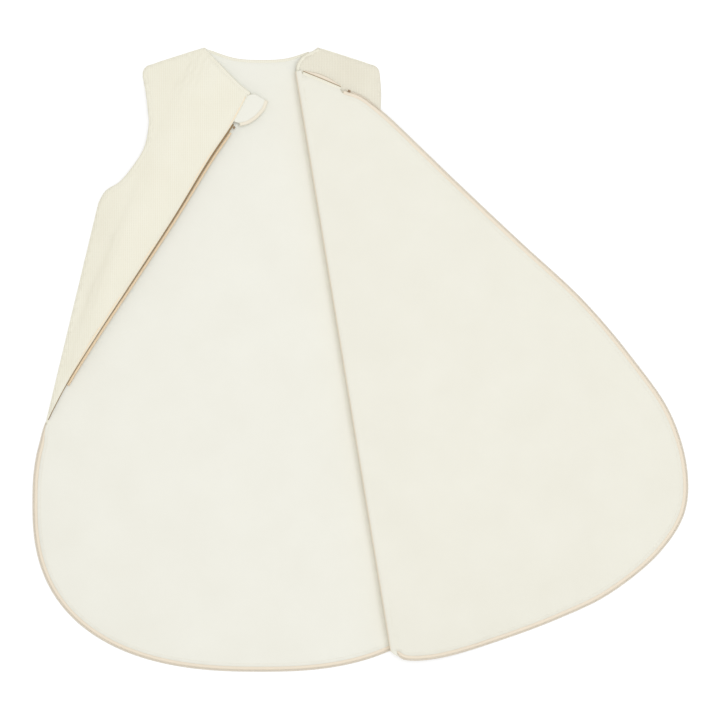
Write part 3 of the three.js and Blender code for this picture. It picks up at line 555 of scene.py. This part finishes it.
def sweep(name, line, profile_at, outward=1):
    """line in millimetres; profile_at(k) gives closed (out mm, height m) pairs at station k."""
    normals = left_of(np.array(line)) * outward
    lengths = run_of(line) / 1000
    points, uv = [], []
    for k, (p, n) in enumerate(zip(line, normals)):
        around = 0.0
        profile = profile_at(k)
        for m, (by, z) in enumerate(profile):
            if m:
                around += math.hypot(by - profile[m - 1][0], (z - profile[m - 1][1]) * 1000) / 1000
            points.append((*metres(p + n * by), max(z, OFF_FLOOR)))
            uv.append((lengths[k], around))
    size = len(profile_at(0))
    faces = [(k * size + m, k * size + (m + 1) % size, (k + 1) * size + (m + 1) % size, (k + 1) * size + m)
             for k in range(len(line) - 1) for m in range(size)]
    faces += [tuple(range(size)), tuple(range((len(line) - 1) * size, len(line) * size))[::-1]]
    return face_out(mesh_piece(name, points, faces, uv))


def oval(out, width, z, height, sides=12):
    """Profile from out millimetres off the edge, around the height z."""
    return [(out + width / 2 * (1 + math.cos(t)), z + height / 2 * math.sin(t))
            for t in np.linspace(0, 2 * math.pi, sides, endpoint=False)]


def edge_level(panel_of, line, layer="low"):
    """Height of a panel's nearest point at each point of the line."""
    points = panel_of["flat"]["points"]
    return np.array([panel_of[layer][np.argmin(((points - p) ** 2).sum(1))] for p in metres(line)])


# %% Neck bindings
def neck_binding(name, panel_of, line, shoulder=neck_left):
    line = evenly(line)
    z = edge_level(panel_of, line) + 0.00115
    inset = -1.2 - NECK_BAND * near(line, shoulder)
    return sweep(f"{name}_neck_band", line, lambda k: oval(inset[k], 4.4, z[k], 0.0029))


past_corner = 2.2 * lapel_neck[-1] - 1.2 * lapel_neck[-2]
bindings = {name: neck_binding(name, *rest) for name, *rest in (
    ("back", back, neck_back[:-3]),
    ("left", left_front, np.vstack([lapel_neck, past_corner])),
    ("right", stay, stay_neck[4:], neck_right),
    ("flap", flap, flap_neck[1:-4]))}
print("neck bindings:", len(bindings))

# %% Painted shadow line and peach strip under the flap's neck edge
neck_line = evenly(flap_neck[1:-5], 1.5)
neck_low = edge_level(flap, neck_line)
facing_width = 4.2 * np.sin(np.linspace(0.03, 0.98, len(neck_line)) * math.pi) ** 0.7
# Painted shadow: a thin brown line stands for the deep shade in the gap under the flap's neck edge.
neck_shadow_line = sweep("flap_neck_facing", neck_line, lambda k: oval(2.4, 1.6, neck_low[k] + 0.0003, 0.001, 8))
# A peach strip shows just above the shadow line, lower than the flap's neck edge.
neck_peach_strip = sweep("flap_neck_tape", neck_line,
                  lambda k: oval(2.0, 1.5 + facing_width[k], neck_low[k] - 0.0006, 0.0008, 8))
print("facings:", length(neck_line))

# %% [markdown]
# ## Turned seams
# At the shoulders and the sides front and back are sewn together and turned, so only a rounded edge of
# outer cloth shows. The panels' own walls could meet there, but one band over both edges is what a
# turned seam looks like, and it closes the gap.

# %% Shoulder and side seams
# A seam's spacing, the length of its thinner ends and its height over the panel's edge.
SEAM_STEP, SEAM_END, SEAM_OVER = 3, 8, 0.0002


def turned_seam(name, panel_of, line, outward):
    """A band from the floor to just over the panel's edge, thinner towards both ends."""
    line = evenly(line, SEAM_STEP)
    z = edge_level(panel_of, line, "high") + SEAM_OVER
    ends = np.minimum(np.arange(len(line)), np.arange(len(line))[::-1]) * SEAM_STEP / SEAM_END
    swell = np.minimum(np.sqrt(np.maximum(ends, 0.1)), 1)
    return sweep(f"{name}_seam", line, lambda k: oval(
        -1.1, 1.1 + 0.9 * swell[k], z[k] / 2, z[k] * (0.6 + 0.4 * swell[k])), outward)


left_side = [armhole_left[-1], side_end_left, side_end_left - [0.8, 3.5]]
right_side = np.vstack([armhole_right[-1:], hem_edge_right[:zip_stop - 1]])
seams = [turned_seam(*rest) for rest in (
    ("left_shoulder", left_front, [armhole_left[2], neck_left], 1),
    ("right_shoulder", stay, [armhole_right[2], neck_right], -1),
    ("left_side", left_front, left_side, -1),
    ("right_side", stay, right_side, 1))]
print("turned seams:", len(seams))

# %% [markdown]
# ## Zip tapes
# A zip's tape is a narrow woven ribbon between outer cloth and lining, the peach line round the open
# bag. It could follow the panels' edges, but it has to lie between two panels that move, so its height
# is read from the frame. Its inner edge is tucked under the lining.

# %% Lines of the zip
lapel_zip = evenly(lapel_free[lapel_free[:, 1] < 617.5])
flap_zip = evenly(np.vstack([flap_neck[-1:], flap_free[1:], axis_foot + [-1.2, 0.6]]))
chain = evenly(hem_under_flap[hem_under_flap[:, 0] > edge_foot[0] + 1])
hem_zip = evenly(np.vstack([hem_edge_left[hem_edge_left[:, 1] < SIDE_END - 1], hem_under_flap[::-1]]))
# The cloth's edge, the width of tape that shows, and the side to which it stands out.
zips = {"lapel": (lapel_zip, 0.9, 1), "flap": (flap_zip, 4.0, 1),
        "back": (hem_zip, 4.0, -1), "front": (chain, 4.0, 1)}
print("zip edges:", {name: length(rest[0]) for name, rest in zips.items()})

# %% Tapes
# A tape's thickness, then in millimetres how far it is tucked in and where its height is read.
TAPE, TUCK, TAPE_AT, COIL_AT = 0.00056, -2.2, 1.5, 2.2


def fullness(name, line):
    """Share of its full width that a tape has at each point of its line."""
    if name == "back":
        return ease((np.arange(len(line)) * BAND_STEP + 3) / 32)
    if name == "flap":
        return ease((np.arange(len(line))[::-1] * BAND_STEP + 4) / 16)
    return np.interp(line[:, 1], [LAPEL_LOW, 600], [0.7, 2.0]) if name == "lapel" else np.ones(len(line))


def zip_level(name, line, normals, by):
    """Middle height of a zip edge, by millimetres out from the cloth, as the frame has it."""
    points, solids = metres(line + normals * by), (f"zip_tape_{name}", f"zip_coil_{name}")
    return smoothed((on_node(points, *solids) + on_node(points, *solids, above=False)) / 2, 2)


def tape(name, line, width, outward):
    normals = left_of(line) * outward
    levels = [zip_level(name, line, normals, by) for by in (TAPE_AT, COIL_AT)]
    full = fullness(name, line)

    def profile(k):
        inner, outer = levels[0][k], levels[1][k]
        reach = 0.3 + (width + 0.1) * full[k]
        row = [(TUCK, inner), (0.2, inner), (reach / 2, (inner + outer) / 2 + 0.00012), (reach, outer)]
        return [(by, z - TAPE / 2) for by, z in row] + [(by, z + TAPE / 2) for by, z in row[::-1]]

    return sweep(f"{name}_zip_tape", line, profile, outward)


tapes = {name: tape(name, *rest) for name, rest in zips.items()}
print("tapes:", len(tapes))

# %% Edges of the lapel
# Painted shadow: the tail carries the lapel's brown line of painted crevice shade on past its tip.
lapel_tail = evenly(lapel_end, 2.0)
tail_z = edge_level(left_front, lapel_tail) + 0.0008
tail = sweep("lapel_tape_tail", lapel_tail[:-1], lambda k: oval(-1.2, 2.3, tail_z[k], 0.0016, 8))
edge_line = evenly(lapel_free[2:-2])
edge_z = edge_level(left_front, edge_line, "high") - 0.0007
edge_size = 1 - 0.8 * near(edge_line, edge_line[-1], 60)
# The rolled edge along the lapel is real cloth; its warm cream colour is a painted highlight.
edge_highlight_roll = sweep("lapel_edge_roll", edge_line,
                  lambda k: oval(-2.6 * edge_size[k], 2.7 * edge_size[k], edge_z[k], 0.0016))
# Painted shadow: a thin brown line where the chin guard meets the lapel's edge.
guard_line = evenly(lapel_free[lapel_free[:, 1] > 615], 1.5)
guard_seam_shadow = sweep("chin_guard_seam", guard_line, lambda k: oval(-0.6, 1.3, edge_z[0] - 0.0012, 0.0012, 8))
print("rolled edge of the lapel:", length(edge_line))

# %% [markdown]
# ## One way to write nodes
# Nodes are written as plain expressions. A small class wraps a socket, so that sums and products add
# Math nodes, and one method adds every other node with its settings and its sockets' values or links.

# %% Values
class Value:
    def __init__(self, graph, socket):
        self.graph, self.socket = graph, socket

    def math(self, operation, *others):
        return self.graph.node("ShaderNodeMath", [self, *others], {"operation": operation})

    def output(self, name):
        return Value(self.graph, self.socket.node.outputs[name])

    def __add__(self, other):
        return self.math("ADD", other)

    def __mul__(self, other):
        return self.math("MULTIPLY", other)

    def __sub__(self, other):
        return self.math("SUBTRACT", other)

    def __rsub__(self, other):
        return (self * -1) + other

    def __truediv__(self, other):
        return self.math("DIVIDE", other)


# %% Nodes
class Graph:
    def __init__(self, tree):
        self.tree = tree

    def feed(self, socket, value):
        if isinstance(value, Value):
            self.tree.links.new(value.socket, socket)
        elif value is not None:
            socket.default_value = value

    def node(self, kind, inputs=None, settings=None, output=0):
        made = self.tree.nodes.new(kind)
        for key, value in (settings or {}).items():
            setattr(made, key, value)
        pairs = enumerate(inputs) if isinstance(inputs, list) else (inputs or {}).items()
        for key, value in pairs:
            self.feed(made.inputs[key], value)
        return Value(self, made.outputs[output]) if made.outputs else made


# %% [markdown]
# ## Coil and stitches by Geometry Nodes
# The coil is hundreds of nylon turns and the stitching hundreds of threads, all alike. They could be
# copied one by one, but Geometry Nodes place one small shape along the object's own path, and named
# inputs set spacing and size, so one tree serves every zip edge.

# %% Repeat a small shape along a path
def repeater(name, shape):
    """A tree that repeats the shape, and the identifiers of its inputs by name."""
    tree = bpy.data.node_groups.new(name, "GeometryNodeTree")
    inputs = {}
    for key in ("Geometry", "Spacing", "Width", "Height", "Thread", "Finish"):
        kind = {"Geometry": "Geometry", "Finish": "Material"}.get(key, "Float")
        socket = tree.interface.new_socket(key, in_out="INPUT", socket_type=f"NodeSocket{kind}")
        inputs[key] = socket.identifier
    tree.interface.new_socket("Geometry", in_out="OUTPUT", socket_type="NodeSocketGeometry")
    g = Graph(tree)
    source = g.node("NodeGroupInput")
    path = g.node("GeometryNodeMeshToCurve", {"Mesh": source})
    level = g.node("GeometryNodeSetCurveNormal", {"Curve": path}, {"mode": "Z_UP"})
    spots = g.node("GeometryNodeCurveToPoints", {"Curve": level, "Length": source.output("Spacing")},
                   {"mode": "LENGTH"})
    small = shape(g, source)
    placed = g.node("GeometryNodeInstanceOnPoints", {
        "Points": spots, "Instance": small, "Rotation": spots.output("Rotation")})
    real = g.node("GeometryNodeRealizeInstances", {"Geometry": placed})
    soft = g.node("GeometryNodeSetShadeSmooth", {"Geometry": real})
    done = g.node("GeometryNodeSetMaterial", {"Geometry": soft, "Material": source.output("Finish")})
    g.node("NodeGroupOutput", {"Geometry": done})
    return tree, inputs


# %% A turn of coil and a stitch
def circle(g, corners, radius):
    return g.node("GeometryNodeCurvePrimitiveCircle", {"Resolution": corners, "Radius": radius},
                  {"mode": "RADIUS"})


def coil_turn(g, source):
    """An oval loop of thread that leans a little."""
    loop = circle(g, 8, 1.0)
    size = g.node("ShaderNodeCombineXYZ", [source.output("Width") / 2, source.output("Height") / 2, 1.0])
    loop = g.node("GeometryNodeTransform", {"Geometry": loop, "Scale": size})
    loop = g.node("GeometryNodeTransform", {"Geometry": loop, "Rotation": (0.0, math.radians(12), 0.0)})
    thread = circle(g, 4, source.output("Thread"))
    return g.node("GeometryNodeCurveToMesh", {"Curve": loop, "Profile Curve": thread})


def thread_stitch(g, source):
    ball = g.node("GeometryNodeMeshUVSphere", {"Segments": 6, "Rings": 4, "Radius": 1.0})
    size = g.node("ShaderNodeCombineXYZ", [
        source.output("Width"), source.output("Thread"), source.output("Height")])
    return g.node("GeometryNodeTransform", {"Geometry": ball, "Scale": size})


coil_turns = repeater("coil turns along a path", coil_turn)
seam_threads = repeater("stitches along a path", thread_stitch)


# %% Make the repeats a plain mesh
def repeated(name, line, repeats, sizes, finish):
    """The shape repeated along points in metres, as a plain piece."""
    tree, inputs = repeats
    path = bpy.data.meshes.new(name + "_path")
    path.from_pydata([tuple(map(float, p)) for p in line], [(k, k + 1) for k in range(len(line) - 1)], [])
    holder = placed(name, path)
    modifier = holder.modifiers.new("repeat", "NODES")
    modifier.node_group = tree
    for key, value in {**sizes, "Finish": finish}.items():
        modifier[inputs[key]] = value
    bpy.context.view_layer.update()
    evaluated = holder.evaluated_get(bpy.context.evaluated_depsgraph_get())
    mesh = bpy.data.meshes.new_from_object(evaluated)
    holder.modifiers.remove(modifier)
    holder.data = mesh
    return holder


# %% [markdown]
# ## Materials
# The outer cloth is a waffle-textured cotton knit and the lining a fine jersey, both matt. An image
# could show them, but a bump and a slight shade that read each piece's own cloth coordinates in metres
# keep their true scale and bend with the piece.

# %% Helpers for every material
# Sockets that a colour Mix node has by number only: its two colours and its result.
MIX_DARK, MIX_LIGHT, MIX_RESULT = 6, 7, 2
TURN, PER_METRE = 2 * math.pi, 1000


def linear(r, g, b):
    """A colour from its screen values of 0 to 255, as shaders take it."""
    shares = [c / 255 for c in (r, g, b)]
    return (*[((s + 0.055) / 1.055) ** 2.4 if s > 0.04045 else s / 12.92 for s in shares], 1.0)


def material(name):
    made = bpy.data.materials.new(name)
    made.use_nodes = True
    made.node_tree.nodes.clear()
    return made, Graph(made.node_tree)


def blended(g, mask, dark, light):
    """A mix of two colours, each given by its screen values or as a socket."""
    dark, light = (c if isinstance(c, Value) else linear(*c) for c in (dark, light))
    return g.node("ShaderNodeMix", {"Factor": mask, MIX_DARK: dark, MIX_LIGHT: light},
                  {"data_type": "RGBA"}, MIX_RESULT)


# %% Coordinates, unevenness and surface
def cloth_map(g):
    return g.node("ShaderNodeUVMap", settings={"uv_map": "cloth"})


def cloth_coordinates(g):
    both = g.node("ShaderNodeSeparateXYZ", [cloth_map(g)])
    return both, both.output("Y")


def mottle(g, scale, detail=3.0):
    return g.node("ShaderNodeTexNoise", {"Vector": cloth_map(g), "Scale": scale, "Detail": detail})


def surface(g, colour, height, rough, depth, sheen=0.0):
    """Finishes a matt material; depth is how deep its pattern goes, in metres."""
    bump = g.node("ShaderNodeBump", {"Strength": 1.0, "Distance": depth, "Height": height})
    shader = g.node("ShaderNodeBsdfPrincipled", {
        "Base Color": colour, "Roughness": rough, "Normal": bump, "Specular IOR Level": 0.25,
        "Sheen Weight": sheen, "Sheen Roughness": 0.5})
    g.node("ShaderNodeOutputMaterial", {"Surface": shader})


# %% Waffle cotton
def waffle_cloth(name, dark, light, rib=2.1, bar=1.9, depth=0.00016):
    """Raised ribs and lower bars, rib and bar millimetres apart."""
    made, g = material(name)
    u, v = cloth_coordinates(g)
    ribs = (u * (TURN * PER_METRE / rib)).math("COSINE") * 0.5 + 0.5
    bars = (v * (TURN * PER_METRE / bar)).math("COSINE") * 0.5 + 0.5
    yarn = mottle(g, 2600.0)
    weave = (ribs * 0.65).math("MAXIMUM", bars * 0.5) + ribs * 0.3 + yarn * 0.25
    cloudy = mottle(g, 26.0)
    tone = weave * 0.55 + cloudy * 0.5 + 0.02
    surface(g, blended(g, tone, dark, light), weave, yarn * 0.1 + 0.86, depth, 0.1)
    return made


# %% Jersey and zip tape
def jersey(name, dark, light, wale=0.95, course=0.7, side=None):
    """Small slanted loops, wale and course millimetres apart; side is a painted warm shade for the roll's
    side.
    """
    made, g = material(name)
    u, v = cloth_coordinates(g)
    column = (u * (PER_METRE / wale)).math("FRACT")
    slant = (column - 0.5).math("ABSOLUTE")
    loops = ((v * (PER_METRE / course) + slant * 1.3) * TURN).math("SINE") * 0.5 + 0.5
    yarn = mottle(g, 3200.0)
    knit = loops * (1 - slant) + yarn * 0.4
    cloudy = mottle(g, 18.0, 4.0)
    tone = knit * 0.25 + cloudy * 0.8 + 0.05
    colour = blended(g, tone, dark, light)
    # Painted warm shade: where the roll's side faces outwards, the jersey takes the side colour, standing for
    # shade and warm bounce light.
    if side:
        low = g.node("ShaderNodeMapRange", {
            "Value": u.math("ABSOLUTE"), "From Min": ROLL_U, "From Max": ROLL_U / 3,
            "To Min": 0.0, "To Max": 1.0}, {"interpolation_type": "SMOOTHSTEP"})
        colour = blended(g, low, colour, side)
    surface(g, colour, knit, yarn * 0.08 + 0.86, 0.00007, 0.08)
    return made


def tape_cloth(name, dark, light):
    """Twill ribs along the tape that slant to and fro."""
    made, g = material(name)
    u, v = cloth_coordinates(g)
    zigzag = (v * 900).math("FRACT")
    rows = ((u * 1250 + (zigzag - 0.5).math("ABSOLUTE") * 2) * TURN).math("SINE") * 0.5 + 0.5
    fibres = mottle(g, 2800.0)
    weave = rows * 0.7 + fibres * 0.4
    surface(g, blended(g, weave * 0.8 + 0.1, dark, light), weave, fibres * 0.15 + 0.7, 0.00007)
    return made


# %% The cloths of this bag
outer_cloth = waffle_cloth("waffle cotton", (232, 227, 206), (243, 240, 225))
# The right front's outer cloth is the same waffle cotton; this darker copy paints the shade that falls on it.
shoulder_cloth_painted_shade = waffle_cloth("waffle cotton at the shoulder", (222, 215, 195),
                              (240, 236, 220), 1.8, 1.9, 0.00022)
lining_cloth = jersey("jersey lining", (236, 234, 222), (243, 242, 232))
flap_lining_cloth = jersey("jersey lining of the flap", (234, 231, 217), (241, 239, 227))
# Painted highlight: this warm cream stands for light and the peach tape's reflection on the lapel's rolled
# cloth edge.
highlight_edge_cloth = jersey("cream edge", (242, 223, 192), (249, 235, 209))
# The chin guard's binding is lining jersey; its warmer cream is painted warm shade along the bound edge.
guard_binding_painted_shade = jersey("cream edge of the chin guard", (237, 228, 208), (244, 237, 220))
# The roll is the same lining jersey; the warm colour on its side is painted shade and bounce light.
roll_cloth_painted_shade = jersey("jersey at the fold", (234, 231, 217), (241, 239, 227),
                    side=(242, 230, 211))
wadding_fill = jersey("loose wadding", (236, 236, 232), (250, 250, 247), 3.0, 2.4)
peach_tape = tape_cloth("peach zip tape", (234, 221, 200), (244, 233, 215))
# Painted shadow: the zip tape is peach all round; this brown stands for the deep shade in narrow gaps under
# raised cloth edges.
crevice_shadow_tape = tape_cloth("brown zip tape", (140, 114, 80), (164, 138, 102))
print("materials, with the frame's:", len(bpy.data.materials))

# %% [markdown]
# ## Nylon, thread and metal
# The coil is satin nylon, the thread matt cotton, the top stops are enamelled, and the slider, its tab
# and the bottom stop are brushed satin metal. They have no cloth map, so their grain reads Object
# coordinates. Gloss comes from roughness alone, so it holds in every view.

# %% Hard finishes
def object_noise(g, scale, stretch=(1.0, 1.0, 1.0)):
    place = g.node("ShaderNodeTexCoord", output="Object")
    where = g.node("ShaderNodeMapping", {"Vector": place, "Scale": stretch})
    return g.node("ShaderNodeTexNoise", {"Vector": where, "Scale": scale, "Detail": 3.0})


def nylon(name, dark, light, rough=0.42):
    made, g = material(name)
    grain = object_noise(g, 1500.0)
    surface(g, blended(g, grain, dark, light), grain, grain * 0.15 + rough, 0.00003)
    return made


def satin_metal(name):
    made, g = material(name)
    brushed = object_noise(g, 900.0, (1.0, 6.0, 1.0))
    patch = object_noise(g, 120.0)
    bump = g.node("ShaderNodeBump", {"Strength": 0.3, "Distance": 0.00003, "Height": brushed})
    shader = g.node("ShaderNodeBsdfPrincipled", {
        "Base Color": blended(g, patch, (176, 172, 163), (205, 201, 192)), "Metallic": 1.0,
        "Roughness": brushed * 0.15 + patch * 0.1 + 0.22, "Normal": bump})
    g.node("ShaderNodeOutputMaterial", {"Surface": shader})
    return made


# The coil's grey-beige is partly its own colour and partly painted shade on its rounded outer side.
coil_nylon_partly_shaded = nylon("beige coil nylon", (222, 212, 194), (238, 229, 213))
lapel_nylon = nylon("peach coil nylon", (235, 211, 176), (246, 225, 193))
stop_enamel = nylon("brown stop enamel", (128, 102, 72), (156, 130, 98), 0.35)
thread = nylon("cream thread", (234, 229, 214), (243, 239, 227), 0.75)
metal = satin_metal("satin zip metal")
print("materials, with the frame's:", len(bpy.data.materials))

# %% Coils
COIL = {"Spacing": 0.00150, "Height": 0.0015, "Thread": 0.00036}
COIL_WIDTH, LAPEL_COIL = 0.0017, 1.8


def coil(name, line, start, outward, finish):
    """The turns of one zip edge, and the cord that they are sewn round."""
    normals = left_of(line) * outward
    wide = LAPEL_COIL if name == "lapel" else 1
    path = line + normals * (start * fullness(name, line) + wide)[:, None]
    z = zip_level(name, line, normals, COIL_AT)
    points = np.column_stack([metres(path), z])
    turns = repeated(f"{name}_zip_coil", points, coil_turns, {**COIL, "Width": COIL_WIDTH * wide}, finish)
    core = sweep(f"{name}_coil_cord", path,
                 lambda k: oval(-0.55 * wide, 1.1 * wide, z[k], 0.0011, 8), outward)
    return turns, core


finishes = {name: lapel_nylon if name == "lapel" else coil_nylon_partly_shaded for name in zips}
skipped = {"lapel": 4, "flap": 1, "back": 0, "front": 4}
coils = {name: coil(name, line[skipped[name]:], width + 0.3, outward, finishes[name])
         for name, (line, width, outward) in zips.items()}
print("coil turns:", {name: len(turns.data.polygons) // 32 for name, (turns, core) in coils.items()})

# %% [markdown]
# ## Stitches
# A row of stitches inside each sewn edge draws the cloth down into a shallow groove. A bump could draw
# them flat, but from the side they have to stand in the groove, so each is a small piece of thread.

# %% Rows of stitches
SEAM_STITCH = {"Spacing": 0.0028, "Width": 0.00028, "Height": 0.00115, "Thread": 0.00022}
ARMHOLE_INSET, THREAD_LIFT = 5.0, 0.00005


def stitch_row(name, panel_of, line, inset, outward=1):
    path = metres(moved(evenly(line), -inset * outward))
    z = heights(path, [panel_of["tree"]], True)
    points = np.column_stack([path, z + THREAD_LIFT])
    return repeated(f"{name}_stitches", points, seam_threads, SEAM_STITCH, thread)


arm = slice(24, -2)
stitches = {
    "flap": [stitch_row("flap_edge", flap, flap_zip[2:], STITCH_INSET)],
    "bag": [stitch_row("hem", back, hem_zip, STITCH_INSET, -1),
            stitch_row("left_armhole", left_front, armhole_left[arm], ARMHOLE_INSET, -1),
            stitch_row("right_armhole", stay, armhole_right[arm], ARMHOLE_INSET)],
    "lapel": [stitch_row("lapel_edge", left_front, lapel_free[8:-4], STITCH_INSET)],
}
print("rows of stitches:", sum(map(len, stitches.values())))

# %% [markdown]
# ## The chin guard
# A small quarter-round tab of lining cloth covers the top of the zip so that it can't scratch. It could
# be one thick piece, but it is sewn from two layers with a bound, stitched edge, so it is made like a
# panel, from a plan, but finer.

# %% Chin guard
GUARD_STITCH = {"Spacing": 0.0022, "Width": 0.00024, "Height": 0.0009, "Thread": 0.0002}

guard_edge = spline([[7.8, 640.6], [4.5, 631.7], [0, 626], [-5.6, 620.5], [-14.6, 614.9], [-23.5, 612.6]], 24)
guard_inner = moved(guard_edge, -3.8)
guard_hinge = np.array([lapel_free[np.argmin(np.abs(lapel_free[:, 1] - y))] for y in (646, 618.5)])
guard_sides = [np.array([guard_hinge[0] + [0.6, 0.3], [-7.3, 648.5], guard_inner[0]]), guard_inner,
               np.array([guard_inner[-1], guard_hinge[1] + [0.6, -0.2]]), (guard_hinge + [0.6, 0.2])[::-1]]
guard_flat = plan(guard_sides, 1.6)
guard_swell = 0.0005 * ease(guard_flat["edge"] / 0.006)
guard_middle = metres([guard_hinge.mean(0) + [6, 0]])
guard_base = float(on_node(guard_middle, "chin_guard_under", above=False)[0])
level = np.full(len(guard_swell), guard_base)
guard_top = shell("chin_guard_face", guard_flat, level + 0.00085, level + 0.0014 + guard_swell, 0.0002)
guard_under = shell("chin_guard_back", guard_flat, level, level + 0.00055, 0.0002)
guard_path = evenly(guard_edge, 1.2)
guard_band = sweep("chin_guard_band", guard_path, lambda k: oval(-4.1, 4.1, guard_base + 0.0007, 0.0017, 14))
guard_thread = np.column_stack([metres(moved(guard_path, -3.5)),
                                np.full(len(guard_path), guard_base + 0.0016)])
guard_row = repeated("chin_guard_stitches", guard_thread, seam_threads, GUARD_STITCH, thread)
print("chin guard lies", round(guard_base * 1000, 1), "mm high")

# %% [markdown]
# ## What moves with what
# Each piece that is given a body rides on it and stands for its CAD solids. The left front and the roll
# could ride on one body each, but real cloth doesn't part at a crease, so here they have no body and
# stay where they are built.

# %% Finish and body of every panel
def dress(piece, finish, slot, body, *nodes):
    if finish:
        piece.data.materials.clear()
        piece.data.materials.append(finish)
    if body:
        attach(piece, body)
    if nodes:
        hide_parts(*nodes)
    return piece


for which, body, outside, inside, solids in (
        (back, "bag", outer_cloth, lining_cloth, ["back"]),
        (stay, "bag", shoulder_cloth_painted_shade, lining_cloth, ["right_front"]),
        (flap, "flap", outer_cloth, flap_lining_cloth, ["flap"]),
        (left_front, None, outer_cloth, lining_cloth, ["left_front", "left_lapel"])):
    looks = {"outer": (outside, "outer_cloth"), "lining": (inside, "lining_cloth"),
             "wadding": (wadding_fill, "wadding")}
    for key in ("top", "bottom", "fill"):
        piece = which[key]
        layer = next(name for name in looks if name in piece.name)
        dress(piece, *looks[layer], body, *[f"{s}_{layer}" for s in solids])
    print(piece.name, "and its two cloths go with", body or "bag and lapel")


def bend_with_lapel(piece):
    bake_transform(piece)


for key in ("top", "bottom", "fill"):
    bend_with_lapel(left_front[key])

dress(roll, roll_cloth_painted_shade, "lining_cloth", None)
# Behind the lining, the roll's inner wall and its rims are outer cloth.
roll.data.materials.append(outer_cloth)
for face in roll.data.polygons:
    face.material_index = int(max(v % ROLL_RING for v in face.vertices) > ROLL_TURNS)
dress(foot_tape, flap_lining_cloth, "lining_cloth", None)
for piece in (roll, foot_tape):
    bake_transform(piece)

# %% Small pieces
owners = {"back": "bag", "front": "bag", "lapel": "lapel", "flap": "flap", "left": "lapel", "right": "bag"}
for name, piece in bindings.items():
    dress(piece, outer_cloth, "outer_cloth", owners[name], f"{name}_neck_binding")
for piece in seams:
    dress(piece, outer_cloth, "outer_cloth", "bag")
# The lapel's tape takes the brown tape: painted shadow in the recess under the lapel's rolled edge.
for name, piece in tapes.items():
    dress(piece, crevice_shadow_tape if name == "lapel" else peach_tape, "zip_tape", owners[name], f"zip_tape_{name}")
for name, (turns, core) in coils.items():
    dress(turns, None, "zip_coil", owners[name], f"zip_coil_{name}")
    dress(core, finishes[name], "zip_coil", owners[name])
for body, rows in stitches.items():
    for row in rows:
        dress(row, None, "outer_cloth", body)
dress(tail, crevice_shadow_tape, "zip_tape", None)
bend_with_lapel(tail)
for piece, finish, slot, body, *nodes in (
        (edge_highlight_roll, highlight_edge_cloth, "outer_cloth", "lapel"),
        (guard_seam_shadow, crevice_shadow_tape, "zip_tape", "lapel"),
        (neck_shadow_line, crevice_shadow_tape, "lining_cloth", "flap"),
        (neck_peach_strip, peach_tape, "lining_cloth", "flap"),
        (guard_top, lining_cloth, "lining_cloth", "guard", "chin_guard_top"),
        (guard_under, lining_cloth, "lining_cloth", "guard", "chin_guard_under"),
        (guard_band, guard_binding_painted_shade, "lining_cloth", "guard", "chin_guard_binding"),
        (guard_row, None, "lining_cloth", "guard")):
    dress(piece, finish, slot, body, *nodes)
for node in ("zip_slider", "zip_pull_tab", "zip_top_stop_lapel", "zip_top_stop_flap", "zip_bottom_stop"):
    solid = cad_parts[node]
    solid.data.materials.clear()
    solid.data.materials.append(stop_enamel if "top_stop" in node else metal)

# %% [markdown]
# ## Floor, light and camera
# The photograph is taken from straight above on white under even light. A wide soft lamp and a white
# world light the cloth so that its colours come out as written. More light would make the floor white
# too, but wash the cloth out, so floor and world show white only to rays from the camera, metal or
# glass, and the floor keeps a soft shadow.

# %% Stage
FLOOR_REACH, FLOOR_Z = 6, -0.0004


def seen_directly(g):
    """One for rays that show the background to the camera, in metal or through glass."""
    rays = g.node("ShaderNodeLightPath")
    kinds = [rays.output(f"Is {kind} Ray") for kind in ("Camera", "Glossy", "Transmission")]
    return kinds[0].math("MAXIMUM", kinds[1]).math("MAXIMUM", kinds[2])


corners = [(x * FLOOR_REACH, y * FLOOR_REACH, FLOOR_Z) for x, y in ((-1, -1), (1, -1), (1, 1), (-1, 1))]
floor = mesh_piece("floor", corners, [(0, 1, 2, 3)], smooth=False)
floor_white, g = material("white floor")
seen = seen_directly(g)
plain = g.node("ShaderNodeBsdfDiffuse", {"Color": (0.8, 0.8, 0.8, 1)})
shade = g.node("ShaderNodeBsdfDiffuse", {"Color": (0.62, 0.62, 0.62, 1)})
glow = g.node("ShaderNodeEmission", {"Color": (1, 1, 1, 1), "Strength": 0.5})
both = g.node("ShaderNodeAddShader", [shade, glow])
g.node("ShaderNodeOutputMaterial", {"Surface": g.node("ShaderNodeMixShader", [seen, plain, both])})
floor.data.materials.append(floor_white)

world = bpy.data.worlds.new("white room")
bpy.context.scene.world = world
world.use_nodes = True
world.node_tree.nodes.clear()
g = Graph(world.node_tree)
lit = g.node("ShaderNodeBackground", {"Color": (1.06, 1.0, 0.9, 1), "Strength": 0.6})
white = g.node("ShaderNodeBackground", {"Color": (1, 1, 1, 1), "Strength": 1.0})
sky = g.node("ShaderNodeMixShader", [seen_directly(g), lit, white])
g.node("ShaderNodeOutputWorld", {"Surface": sky})
print("floor:", 2 * FLOOR_REACH, "m wide")

# %% Lamp and camera
lamp = bpy.data.lights.new("soft lamp", "AREA")
lamp.shape, lamp.size, lamp.energy = "SQUARE", 2.4, 59.0
lamp.color = (0.91, 1.0, 1.14)
lamp_at = placed("soft lamp", lamp)
lamp_at.location = (0.4, 0.2, 3.4)
lamp_at.rotation_euler = Vector(lamp_at.location).to_track_quat("Z", "Y").to_euler()

# The photograph's frame is FRAME_WIDTH metres wide at the height of the cloth's top.
LENS, SENSOR, FRAME_WIDTH, CLOTH_TOP = 135, 36, 0.8064, 0.012
view = bpy.data.cameras.new("from above")
view.lens, view.sensor_width = LENS, SENSOR
camera = placed("from above", view)
camera.location = (0.0009, 0.0006, CLOTH_TOP + FRAME_WIDTH * LENS / SENSOR)
bpy.context.scene.camera = camera
bpy.context.scene.view_settings.view_transform = "Standard"
print("camera", round(camera.location.z, 3), "m above the floor")
